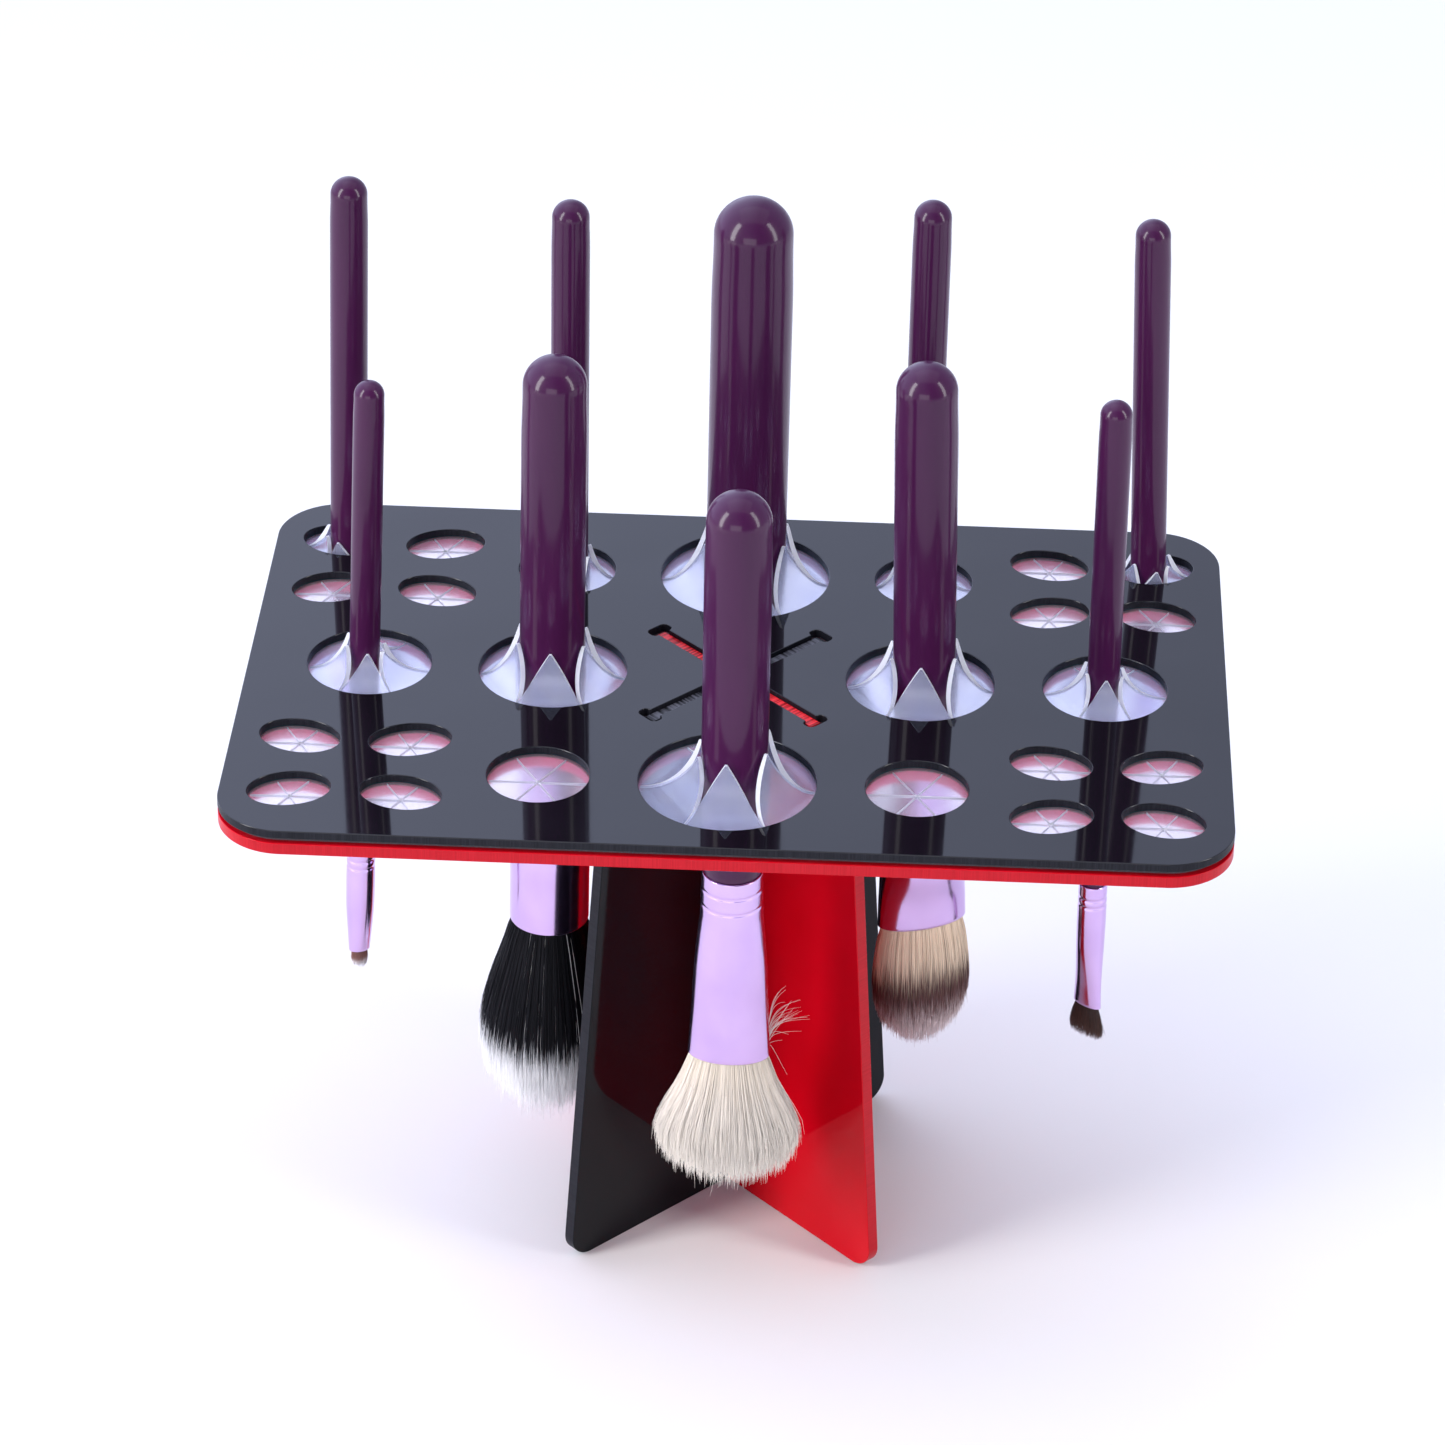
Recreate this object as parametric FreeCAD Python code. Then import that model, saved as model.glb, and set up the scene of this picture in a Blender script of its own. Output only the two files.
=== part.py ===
import FreeCAD, Part
import math
import os

# Drying and storage rack for brushes.  A deck made of a black plate, a slit
# silicone sheet and a red plate stands on two crossed acrylic leg panels.
# Brushes hang head down through the slit holes, gripped by the silicone flaps.
#
# Frame: millimetres, +Z up, origin on the floor under the middle of the deck,
# +X to the right along the deck's long side, +Y to the back.

# ---- deck ----
DECK_LENGTH = 220.0
DECK_WIDTH = 142.0
DECK_CORNER = 15.0
BLACK_THICK = 2.0
SILICONE_THICK = 1.2
SILICONE_INSET = 1.5        # the sheet stops this far inside the plates' outline
RED_THICK = 2.8

# ---- legs ----
LEG_HEIGHT = 133.0          # floor to the shoulders that carry the deck
PANEL_THICK = 3.0
FOOT_HALF = 50.5            # half width of a panel at the floor
SHOULDER_HALF = 39.0        # half width of a panel under the deck
FOOT_RADIUS = 5.5
TAB_HALF = 26.0             # half width of the tab that stands in the deck
TAB_BELOW_TOP = 1.0         # the tab ends this far under the deck's top face
LAP_WIDTH = 3.06            # cross-lap slot in each panel
LAP_LEVEL = 66.5            # height where the two laps meet
SLOT_WIDTH = 3.1            # slot in the deck for the tabs
RELIEF_LENGTH = 5.7         # rounded cross cut at each end of a deck slot
RELIEF_WIDTH = 2.9

# ---- holes ----
MIDDLE_OUTER_X = 82.7
MIDDLE_OUTER_R = 14.0
MIDDLE_INNER_X = 41.3
MIDDLE_INNER_R = 16.7
ROW_Y = 44.5                # front and back rows
ROW_CENTRE_R = 19.5
ROW_SIDE_X = 41.3
ROW_SIDE_R = 11.25
CLUSTER_X = 82.6            # middle of each group of four ovals
CLUSTER_Y = 43.0
OVAL_STEP_X = 12.15
OVAL_STEP_Y = 10.75
OVAL_HALF_LONG = 9.2
OVAL_HALF_SHORT = 6.6
OVAL_TURN = 15.2            # each oval points away from its group's middle
SLIT_WIDTH = 0.3
SLIT_ANGLES = (0.0, 60.0, 120.0)
SLIT_END_GAP = 0.4          # the slits stop this far inside the hole's edge

# ---- flaps around a handle ----
FLAP_CLEARANCE = 0.3
FLAP_STEPS = 6
FLAP_FLAT_SHARE = 0.55      # how far a flap runs level before it turns up
FOLD_UNDER = 1.6            # a flap with less room than this folds up sharply
FOLD_ROOT = 0.8             # a folded flap starts this far inside the sheet

# ---- brushes ----
TUBE_WALL = 0.45            # wall of a ferrule
FIT_GAP = 0.03              # around tenons and hair roots inside a ferrule
TENON_LENGTH = 9.5
COLLAR_LENGTH = 11.0        # round top of a ferrule, with its crimps
CRIMPS = (4.0, 8.0)         # distance of each crimp groove under the rim
CRIMP_HALF_WIDTH = 0.7
CRIMP_DEPTH = 0.35
SMALL_CRIMPS = (3.6, 5.6)
SMALL_HANDLE_R = 5.0        # handles thinner than this get the small crimps
ROOT_LENGTH = 9.0           # hair glued inside the ferrule
ROOT_STEP = 0.1             # the root meets the head this much narrower than it

RED_BASE = LEG_HEIGHT
SILICONE_BASE = RED_BASE + RED_THICK
BLACK_BASE = SILICONE_BASE + SILICONE_THICK
DECK_TOP = BLACK_BASE + BLACK_THICK
UP = FreeCAD.Vector(0, 0, 1)

# Each brush is given from its own axis.  shift and lean place the axis: it
# passes shift millimetres to the right of its hole's middle at the deck's top
# face, and leans lean degrees to the right.  top and rim are heights from the
# deck's top face.  A ferrule section is (below the rim, half width, half
# depth), a hair section (below the ferrule's mouth, half width, half depth),
# and turn swings the flat ones about the axis.
BRUSHES = [
    dict(
        name="blush", hole="front_centre", shift=1.5, lean=0.1, turn=-2.0,
        handle_r=7.3, neck_r=6.5, top=72.0, rim=-22.8,
        ferrule=[(0, 6.8, 6.8), (11, 7.0, 7.0), (24, 8.1, 6.8), (38, 8.7, 6.0), (49.2, 9.3, 5.5)],
        hair=[(0, 8.8, 5.0), (8, 11.6, 6.6), (15, 15.2, 8.4), (21, 17.4, 9.6), (27, 16.6, 9.0),
              (32, 13.2, 7.0), (36, 7.0, 3.6)],
    ),
    dict(
        name="stippling", hole="middle_inner_left", shift=-0.3, lean=0.7, turn=0.0,
        handle_r=7.3, neck_r=6.6, top=79.0, rim=-25.0,
        ferrule=[(0, 6.9, 6.9), (11, 7.2, 7.2), (22, 9.0, 9.0), (32, 9.15, 9.15), (41.8, 9.15, 9.15)],
        hair=[(0, 8.65, 8.65), (8, 10.8, 10.8), (19, 14.1, 14.1), (31, 16.4, 16.4), (41, 15.0, 15.0),
              (48, 11.0, 11.0), (52.5, 5.0, 5.0)],
    ),
    dict(
        name="foundation", hole="middle_inner_right", shift=0.8, lean=-1.4, turn=20.0,
        handle_r=7.0, neck_r=6.4, top=80.5, rim=-22.0,
        ferrule=[(0, 6.7, 6.7), (11, 7.0, 7.0), (24, 9.4, 8.6), (34, 10.3, 6.0), (42, 10.6, 4.9)],
        hair=[(0, 10.1, 4.4), (8, 11.2, 5.7), (16, 11.8, 6.4), (23, 11.0, 6.0), (29, 8.2, 4.7),
              (33, 3.6, 2.2)],
    ),
    dict(
        name="liner", hole="middle_outer_left", shift=-1.2, lean=2.1, turn=29.0,
        handle_r=3.45, neck_r=2.95, top=71.5, rim=-49.0,
        ferrule=[(0, 3.3, 3.3), (11, 3.35, 3.35), (18, 3.2, 3.2), (24, 2.85, 2.6), (29.5, 2.5, 1.7)],
        hair=[(0, 2.0, 1.2), (2.6, 2.15, 1.25), (4.7, 1.5, 0.8)],
    ),
    dict(
        name="smudge", hole="middle_outer_right", shift=-0.5, lean=-0.5, turn=-40.0,
        handle_r=3.65, neck_r=3.0, top=73.0, rim=-52.0,
        ferrule=[(0, 3.3, 3.3), (11, 3.35, 3.35), (18, 3.3, 3.1), (28, 3.5, 2.0), (34, 3.85, 1.6)],
        hair=[(0, 3.35, 1.1), (3.5, 4.3, 1.4), (6.5, 5.0, 1.6), (8, 4.4, 1.25)],
    ),
    dict(
        name="powder", hole="back_centre", shift=0.0, lean=0.3, turn=0.0,
        handle_r=9.2, neck_r=8.3, top=96.6, rim=-14.0,
        ferrule=[(0, 8.7, 8.7), (11, 9.0, 9.0), (19, 10.9, 10.9), (27, 11.2, 11.2)],
        hair=[(0, 10.7, 10.7), (8, 13.4, 13.0), (17, 16.6, 15.8), (24, 16.4, 15.4), (29, 13.0, 12.0),
              (32.5, 6.5, 6.0)],
    ),
    dict(
        name="blending", hole="oval_back_left_1", shift=1.6, lean=1.3, turn=0.0,
        handle_r=4.3, neck_r=3.2, top=94.0, rim=-26.0,
        ferrule=[(0, 3.5, 3.5), (11, 3.55, 3.55), (20, 3.5, 3.4), (28, 3.6, 3.2)],
        hair=[(0, 3.1, 2.7), (6, 4.6, 4.2), (11, 6.2, 5.6), (15, 5.4, 4.8), (18, 2.6, 2.3)],
    ),
    dict(
        name="shader", hole="back_left", shift=0.4, lean=0.3, turn=12.0,
        handle_r=4.35, neck_r=3.3, top=94.7, rim=-25.0,
        ferrule=[(0, 3.6, 3.6), (11, 3.65, 3.65), (20, 4.1, 2.8), (27, 4.9, 1.9)],
        hair=[(0, 4.4, 1.4), (5, 5.4, 2.0), (10, 5.6, 2.1), (13.5, 4.2, 1.4)],
    ),
    dict(
        name="crease", hole="back_right", shift=-1.2, lean=0.1, turn=0.0,
        handle_r=4.35, neck_r=3.3, top=97.6, rim=-26.0,
        ferrule=[(0, 3.6, 3.6), (11, 3.65, 3.65), (20, 3.6, 3.6), (26, 3.5, 3.5)],
        hair=[(0, 3.0, 3.0), (5, 4.2, 4.2), (9, 4.3, 4.3), (13, 2.9, 2.9), (15.5, 1.2, 1.2)],
    ),
    dict(
        name="pencil", hole="oval_back_right_2", shift=-1.4, lean=-2.4, turn=0.0,
        handle_r=4.1, neck_r=3.0, top=90.2, rim=-28.0,
        ferrule=[(0, 3.3, 3.3), (11, 3.35, 3.35), (20, 3.1, 3.1), (28, 2.6, 2.6)],
        hair=[(0, 2.1, 2.1), (4, 2.5, 2.5), (8, 1.6, 1.6), (10, 0.6, 0.6)],
    ),
]


# ---------------------------------------------------------------- holes
def hole_table():
    """Every hole by name: middle, half length, half width and turn of its long axis."""
    holes = {}
    for side, sx in (("left", -1), ("right", 1)):
        holes["middle_outer_" + side] = (sx * MIDDLE_OUTER_X, 0.0, MIDDLE_OUTER_R, MIDDLE_OUTER_R, 0.0)
        holes["middle_inner_" + side] = (sx * MIDDLE_INNER_X, 0.0, MIDDLE_INNER_R, MIDDLE_INNER_R, 0.0)
    for row, sy in (("back", 1), ("front", -1)):
        holes[row + "_centre"] = (0.0, sy * ROW_Y, ROW_CENTRE_R, ROW_CENTRE_R, 0.0)
        for side, sx in (("left", -1), ("right", 1)):
            holes[row + "_" + side] = (sx * ROW_SIDE_X, sy * ROW_Y, ROW_SIDE_R, ROW_SIDE_R, 0.0)
            corners = ((-1, 1), (1, 1), (-1, -1), (1, -1))
            for number, (ox, oy) in enumerate(corners, 1):
                x = sx * CLUSTER_X + ox * OVAL_STEP_X
                y = sy * CLUSTER_Y + oy * OVAL_STEP_Y
                name = "oval_%s_%s_%d" % (row, side, number)
                holes[name] = (x, y, OVAL_HALF_LONG, OVAL_HALF_SHORT, ox * oy * OVAL_TURN)
    return holes


HOLES = hole_table()
TAKEN = {brush["hole"] for brush in BRUSHES}


def rim_point(hole, angle):
    """Point of a hole's edge in the direction angle, in degrees, from its middle."""
    x, y, half_long, half_short, turn = hole
    a = math.radians(angle - turn)
    reach = 1.0 / math.hypot(math.cos(a) / half_long, math.sin(a) / half_short)
    across = math.radians(angle)
    return FreeCAD.Vector(x + reach * math.cos(across), y + reach * math.sin(across), 0)


def hole_wire(hole, base):
    """Closed edge of a round or oval hole at height base."""
    x, y, half_long, half_short, turn = hole
    middle = FreeCAD.Vector(x, y, base)
    if half_long == half_short:
        edge = Part.Circle(middle, UP, half_long).toShape()
    else:
        edge = Part.Ellipse(middle, half_long, half_short).toShape()
        edge.rotate(middle, UP, turn)
    return Part.Wire([edge])


# ---------------------------------------------------------------- deck
def rounded_outline(base, inset=0.0):
    """The deck's outline, a rectangle with round corners, drawn in by inset."""
    length, width = DECK_LENGTH - 2 * inset, DECK_WIDTH - 2 * inset
    box = Part.makeBox(length, width, 1.0, FreeCAD.Vector(-length / 2, -width / 2, base))
    uprights = [e for e in box.Edges if abs(e.Vertexes[0].Z - e.Vertexes[-1].Z) > 0.5]
    rounded = box.makeFillet(DECK_CORNER - inset, uprights)
    lowest = min(rounded.Faces, key=lambda face: face.CenterOfMass.z)
    return lowest.OuterWire


def tab_slots(base, height):
    """The X-shaped slot for the leg tabs, with its rounded cross cuts."""
    reach = TAB_HALF + RELIEF_WIDTH / 2 - 0.2
    arms = Part.makeBox(2 * reach, SLOT_WIDTH, height, FreeCAD.Vector(-reach, -SLOT_WIDTH / 2, base))
    straight = RELIEF_LENGTH - RELIEF_WIDTH
    for end in (-1, 1):
        along = end * TAB_HALF
        corner = FreeCAD.Vector(along - RELIEF_WIDTH / 2, -straight / 2, base)
        arms = arms.fuse(Part.makeBox(RELIEF_WIDTH, straight, height, corner))
        for side in (-1, 1):
            centre = FreeCAD.Vector(along, side * straight / 2, base)
            arms = arms.fuse(Part.makeCylinder(RELIEF_WIDTH / 2, height, centre))
    first = arms.copy()
    first.rotate(FreeCAD.Vector(0, 0, 0), UP, 45)
    second = arms.copy()
    second.rotate(FreeCAD.Vector(0, 0, 0), UP, -45)
    return first.fuse(second)


def plate(base, thick):
    """A rigid deck plate with every hole and the tab slots."""
    wires = [rounded_outline(base)] + [hole_wire(hole, base) for hole in HOLES.values()]
    solid = Part.Face(wires, "Part::FaceMakerBullseye").extrude(UP * thick)
    return solid.cut(tab_slots(base - 1, thick + 2)).removeSplitter()


# ---------------------------------------------------------------- silicone sheet
def brush_centre(brush, height):
    """Where a brush's axis passes a height above the floor."""
    x, y = HOLES[brush["hole"]][:2]
    slope = math.tan(math.radians(brush["lean"]))
    return FreeCAD.Vector(x + brush["shift"] + slope * (height - DECK_TOP), y, 0)


def bezier(p0, p1, p2, p3, t):
    """Point and direction of a cubic curve in the plane."""
    s = 1.0 - t
    point = [s ** 3 * a + 3 * s * s * t * b + 3 * s * t * t * c + t ** 3 * d
             for a, b, c, d in zip(p0, p1, p2, p3)]
    slope = [3 * (s * s * (b - a) + 2 * s * t * (c - b) + t * t * (d - c))
             for a, b, c, d in zip(p0, p1, p2, p3)]
    return point, slope


def folded_profile(length, gap):
    """Point, direction and stretch along a flap folded up sharply where the handle is close."""
    mitre = math.sqrt(2)
    return [((-FOLD_ROOT, 0), (1, 0), 1), ((gap, 0), (1, 1), mitre), ((gap, length - gap), (0, 1), 1)]


def curved_profile(length, gap):
    """The same for a flap that leaves the sheet level and turns upright at distance gap."""
    def stations(height):
        curve = ((0, 0), (FLAP_FLAT_SHARE * gap, 0), (gap, 0.35 * height), (gap, height))
        return [bezier(*curve, i / FLAP_STEPS) for i in range(FLAP_STEPS + 1)]

    low, high = 0.0, length
    for _ in range(40):
        height = (low + high) / 2
        points = [p for p, _ in stations(height)]
        run = sum(math.dist(a, b) for a, b in zip(points, points[1:]))
        if run < length:
            low = height
        else:
            high = height
    return [(point, slope, 1) for point, slope in stations(height)]


def flap(hole, angle, brush):
    """One bent flap between the slits at angle and angle + 60 degrees."""
    left = rim_point(hole, angle)
    right = rim_point(hole, angle + 60)
    apex = FreeCAD.Vector(hole[0], hole[1], 0)
    width = (right - left).Length
    across = (right - left) / width
    inward = UP.cross(across)
    length = (apex - left).dot(inward)
    apex_side = (apex - left).dot(across)
    reach = min((brush_centre(brush, z) - left).dot(inward) for z in (SILICONE_BASE, DECK_TOP + length))
    gap = reach - brush["handle_r"] - FLAP_CLEARANCE - SILICONE_THICK / 2
    middle = SILICONE_BASE + SILICONE_THICK / 2
    rings = []
    run = 0.0
    last = (0.0, 0.0)
    profile = folded_profile if gap < FOLD_UNDER else curved_profile
    for point, slope, stretch in profile(length, gap):
        if point[0] > 0:
            run += math.dist(last, point)
            last = point
        share = min(run / length, 0.985)
        sides = (apex_side * share, width + (apex_side - width) * share)
        size = math.hypot(*slope)
        normal = inward * (-slope[1] / size) + UP * (slope[0] / size)
        centre = left + inward * point[0] + UP * (middle + point[1])
        half = normal * (SILICONE_THICK / 2 * stretch)
        rings.append([centre + across * sides[0] - half, centre + across * sides[1] - half,
                      centre + across * sides[1] + half, centre + across * sides[0] + half])
    return ring_solid(rings)


def ring_solid(rings):
    """A closed solid of flat triangles through rings of four corners."""
    faces = [Part.Face(Part.makePolygon(rings[0][::-1] + rings[0][-1:])),
             Part.Face(Part.makePolygon(rings[-1] + rings[-1][:1]))]
    for near, far in zip(rings, rings[1:]):
        for i in range(4):
            j = (i + 1) % 4
            faces.append(Part.Face(Part.makePolygon([near[i], near[j], far[j], near[i]])))
            faces.append(Part.Face(Part.makePolygon([near[i], far[j], far[i], near[i]])))
    solid = Part.Solid(Part.Shell(faces))
    if solid.Volume < 0:
        solid.reverse()
    return solid


def slits(hole):
    """Three crossed slits in the sheet under an empty hole."""
    middle = FreeCAD.Vector(hole[0], hole[1], 0)
    cuts = []
    for angle in SLIT_ANGLES:
        reach = (rim_point(hole, angle) - middle).Length - SLIT_END_GAP
        corner = FreeCAD.Vector(-reach, -SLIT_WIDTH / 2, SILICONE_BASE - 1)
        cut = Part.makeBox(2 * reach, SLIT_WIDTH, SILICONE_THICK + 2, corner)
        cut.rotate(FreeCAD.Vector(0, 0, 0), UP, angle)
        cut.translate(middle)
        cuts.append(cut)
    return cuts[0].multiFuse(cuts[1:])


def silicone_sheet():
    """The sheet between the plates: slit under empty holes, with raised flaps around handles."""
    wires = [rounded_outline(SILICONE_BASE, SILICONE_INSET)]
    flaps = []
    for brush in BRUSHES:
        hole = HOLES[brush["hole"]]
        corners = [rim_point(hole, a) + UP * SILICONE_BASE for a in range(0, 360, 60)]
        wires.append(Part.makePolygon(corners + corners[:1]))
        flaps += [flap(hole, a, brush) for a in range(0, 360, 60)]
    sheet = Part.Face(wires, "Part::FaceMakerBullseye").extrude(UP * SILICONE_THICK)
    tools = [slits(hole) for name, hole in HOLES.items() if name not in TAKEN]
    tools.append(tab_slots(SILICONE_BASE - 1, SILICONE_THICK + 2))
    sheet = sheet.cut(tools)
    return sheet.multiFuse(flaps)


# ---------------------------------------------------------------- legs
def is_foot_corner(edge):
    """True for the short edge across the panel at each end of its foot."""
    middle = edge.CenterOfMass
    return abs(abs(middle.x) - FOOT_HALF) < 0.1 and abs(middle.y) < 0.1 and middle.z < 0.1


def leg_panel(lap_open_at_top, direction):
    """One leg panel standing on the diagonal, with its half of the cross lap."""
    tab_top = DECK_TOP - TAB_BELOW_TOP
    half = [(FOOT_HALF, 0.0), (SHOULDER_HALF, LEG_HEIGHT), (TAB_HALF, LEG_HEIGHT), (TAB_HALF, tab_top)]
    outline = half + [(-x, z) for x, z in reversed(half)]
    corners = [FreeCAD.Vector(x, -PANEL_THICK / 2, z) for x, z in outline]
    face = Part.Face(Part.makePolygon(corners + corners[:1]))
    panel = face.extrude(FreeCAD.Vector(0, PANEL_THICK, 0))
    panel = panel.makeFillet(FOOT_RADIUS, [e for e in panel.Edges if is_foot_corner(e)])
    if lap_open_at_top:
        bottom, top = LAP_LEVEL, tab_top + 1.0
    else:
        bottom, top = -1.0, LAP_LEVEL
    corner = FreeCAD.Vector(-LAP_WIDTH / 2, -PANEL_THICK, bottom)
    panel = panel.cut(Part.makeBox(LAP_WIDTH, 2 * PANEL_THICK, top - bottom, corner))
    panel.rotate(FreeCAD.Vector(0, 0, 0), UP, direction)
    return panel


# ---------------------------------------------------------------- brushes
def line(a, b):
    return Part.makeLine(FreeCAD.Vector(a[0], 0, a[1]), FreeCAD.Vector(b[0], 0, b[1]))


def curve(*poles):
    """A Bezier edge in the half plane of a turned outline."""
    edge = Part.BezierCurve()
    edge.setPoles([FreeCAD.Vector(r, 0, z) for r, z in poles])
    return edge.toShape()


def turned(edges):
    """A solid of revolution about the brush's axis."""
    face = Part.Face(Part.Wire(edges))
    return face.revolve(FreeCAD.Vector(0, 0, 0), UP, 360)


def handle(brush):
    """Lacquered handle: tenon, neck, long straight barrel and domed end."""
    r, neck, rim, top = brush["handle_r"], brush["neck_r"], brush["rim"], brush["top"]
    tenon = brush["ferrule"][0][1] - TUBE_WALL - CRIMP_DEPTH - FIT_GAP
    barrel = rim + 2.2 * r + 4
    ease = 0.4 * (barrel - rim)
    end = 0.97 * r
    dome = 0.95 * end
    bottom = rim - TENON_LENGTH
    round_off = 0.55            # makes the dome's curve a quarter ellipse
    return turned([
        line((0, bottom), (tenon, bottom)),
        line((tenon, bottom), (tenon, rim)),
        line((tenon, rim), (neck, rim)),
        curve((neck, rim), (neck, rim + ease), (r, barrel - ease), (r, barrel)),
        line((r, barrel), (r, top - dome - 2 * r)),
        curve((r, top - dome - 2 * r), (r, top - dome - r), (end, top - dome - r), (end, top - dome)),
        curve((end, top - dome), (end, top - (1 - round_off) * dome), (round_off * end, top), (0, top)),
        line((0, top), (0, bottom)),
    ])


def between(sections, below):
    """Half width and half depth at a distance, on a smooth line through the sections."""
    last = len(sections) - 1
    i = min(max(k for k in range(len(sections)) if sections[k][0] <= below), last - 1)
    near, far = sections[i], sections[i + 1]
    before, after = sections[max(i - 1, 0)], sections[min(i + 2, last)]
    span = far[0] - near[0]
    t = (below - near[0]) / span
    sizes = []
    for k in (1, 2):
        start = (far[k] - before[k]) / (far[0] - before[0]) * span
        end = (after[k] - near[k]) / (after[0] - near[0]) * span
        sizes.append((2 * t ** 3 - 3 * t * t + 1) * near[k] + (t ** 3 - 2 * t * t + t) * start
                     + (3 * t * t - 2 * t ** 3) * far[k] + (t ** 3 - t * t) * end)
    return sizes


def section_wire(z, half_width, half_depth):
    middle = FreeCAD.Vector(0, 0, z)
    if half_width - half_depth < 0.01:
        return Part.Wire([Part.Circle(middle, UP, half_width).toShape()])
    return Part.Wire([Part.Ellipse(middle, half_width, half_depth).toShape()])


def lofted(sections, mouth, inset, steps):
    """A solid through a brush's sections, hanging down from height mouth."""
    start, end = sections[0][0], sections[-1][0]
    wires = []
    for i in range(steps + 1):
        below = start + (end - start) * i / steps
        half_width, half_depth = between(sections, below)
        wires.append(section_wire(mouth - below, half_width - inset, half_depth - inset))
    return Part.makeLoft(wires, True, True)


def collar(brush):
    """Round top of the ferrule, with a rolled rim and two crimp grooves."""
    rim = brush["rim"]
    (_, top_r, _), (_, low_r, _) = brush["ferrule"][:2]
    inner = top_r - TUBE_WALL - CRIMP_DEPTH
    grooves = CRIMPS if brush["handle_r"] > SMALL_HANDLE_R else SMALL_CRIMPS
    edges = [line((inner, rim), (top_r - 0.2, rim)), line((top_r - 0.2, rim), (top_r, rim - 0.2))]
    last = (top_r, rim - 0.2)
    for below in grooves:
        radius = top_r + (low_r - top_r) * below / COLLAR_LENGTH
        start = (radius, rim - below + CRIMP_HALF_WIDTH)
        end = (radius, rim - below - CRIMP_HALF_WIDTH)
        deep = radius - 4 / 3 * CRIMP_DEPTH
        edges.append(line(last, start))
        edges.append(curve(start, (deep, rim - below + 0.4), (deep, rim - below - 0.4), end))
        last = end
    bottom = rim - COLLAR_LENGTH
    edges += [line(last, (low_r, bottom)),
              line((low_r, bottom), (inner, bottom)),
              line((inner, bottom), (inner, rim))]
    return turned(edges)


def ferrule(brush):
    """Metal tube between handle and hair, round above and shaped below."""
    lower = brush["ferrule"][1:]
    outside = lofted(lower, brush["rim"], 0.0, 8)
    inside = lofted(lower, brush["rim"], TUBE_WALL, 8)
    tube = outside.cut(inside)
    tube.rotate(FreeCAD.Vector(0, 0, 0), UP, brush["turn"])
    return collar(brush).fuse(tube)


def bristles(brush):
    """Hair head as one solid, with its root inside the ferrule."""
    depth = brush["ferrule"][-1][0]
    mouth = brush["rim"] - depth
    inset = TUBE_WALL + FIT_GAP
    wires = []
    for share in (1.0, 2 / 3, 1 / 3):
        up = ROOT_LENGTH * share
        half_width, half_depth = between(brush["ferrule"], depth - up)
        wires.append(section_wire(mouth + up, half_width - inset, half_depth - inset))
    _, half_width, half_depth = brush["hair"][0]
    wires.append(section_wire(mouth, half_width - ROOT_STEP, half_depth - ROOT_STEP))
    plug = Part.makeLoft(wires, True, True)
    head = lofted(brush["hair"], mouth, 0.0, 12)
    solid = plug.fuse(head)
    solid.rotate(FreeCAD.Vector(0, 0, 0), UP, brush["turn"])
    return solid


def placed(shape, brush):
    """Moves a piece from its brush's own axis into the rack."""
    x, y = HOLES[brush["hole"]][:2]
    shape = shape.copy()
    shape.rotate(FreeCAD.Vector(0, 0, 0), FreeCAD.Vector(0, 1, 0), brush["lean"])
    shape.translate(FreeCAD.Vector(x + brush["shift"], y, DECK_TOP))
    return shape


# ---------------------------------------------------------------- writing
def pieces():
    """Every node's name and shape."""
    yield "black_plate", plate(BLACK_BASE, BLACK_THICK)
    yield "silicone_sheet", silicone_sheet()
    yield "red_plate", plate(RED_BASE, RED_THICK)
    yield "black_leg", leg_panel(True, 45)
    yield "red_leg", leg_panel(False, -45)
    for brush in BRUSHES:
        yield brush["name"] + "_handle", placed(handle(brush), brush)
        yield brush["name"] + "_ferrule", placed(ferrule(brush), brush)
        yield brush["name"] + "_bristles", placed(bristles(brush), brush)


os.makedirs("parts", exist_ok=True)
for node, shape in pieces():
    shape.exportStep("parts/%s.step" % node)
    solids = shape.Solids
    print("%-22s solids %d  valid %s  volume %.1f" % (node, len(solids), shape.isValid(), shape.Volume))
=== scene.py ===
import math
from collections import namedtuple

import bpy
import numpy as np
from mathutils import Matrix, Vector, geometry


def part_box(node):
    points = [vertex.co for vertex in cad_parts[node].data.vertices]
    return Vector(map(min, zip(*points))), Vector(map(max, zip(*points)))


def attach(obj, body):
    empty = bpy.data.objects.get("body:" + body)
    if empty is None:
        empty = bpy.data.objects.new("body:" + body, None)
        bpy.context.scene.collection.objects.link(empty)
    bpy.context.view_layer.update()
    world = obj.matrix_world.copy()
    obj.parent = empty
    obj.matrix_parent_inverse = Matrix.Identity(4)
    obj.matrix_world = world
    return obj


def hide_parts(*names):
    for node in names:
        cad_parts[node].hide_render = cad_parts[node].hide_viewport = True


# Looks for a brush drying rack.  Shapes are worked out in millimetres, in the
# CAD frame, and written to the meshes in metres.

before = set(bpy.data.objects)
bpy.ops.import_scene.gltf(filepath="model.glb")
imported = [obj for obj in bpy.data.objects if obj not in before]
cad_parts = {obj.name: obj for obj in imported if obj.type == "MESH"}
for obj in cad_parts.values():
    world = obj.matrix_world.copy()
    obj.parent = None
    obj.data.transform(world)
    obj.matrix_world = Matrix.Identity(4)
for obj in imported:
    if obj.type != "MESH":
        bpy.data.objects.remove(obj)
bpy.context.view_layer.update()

MM = 0.001


def level(node, corner):
    """Height in mm of a CAD node's lowest (0) or highest (1) corner."""
    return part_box(node)[corner].z / MM


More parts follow.
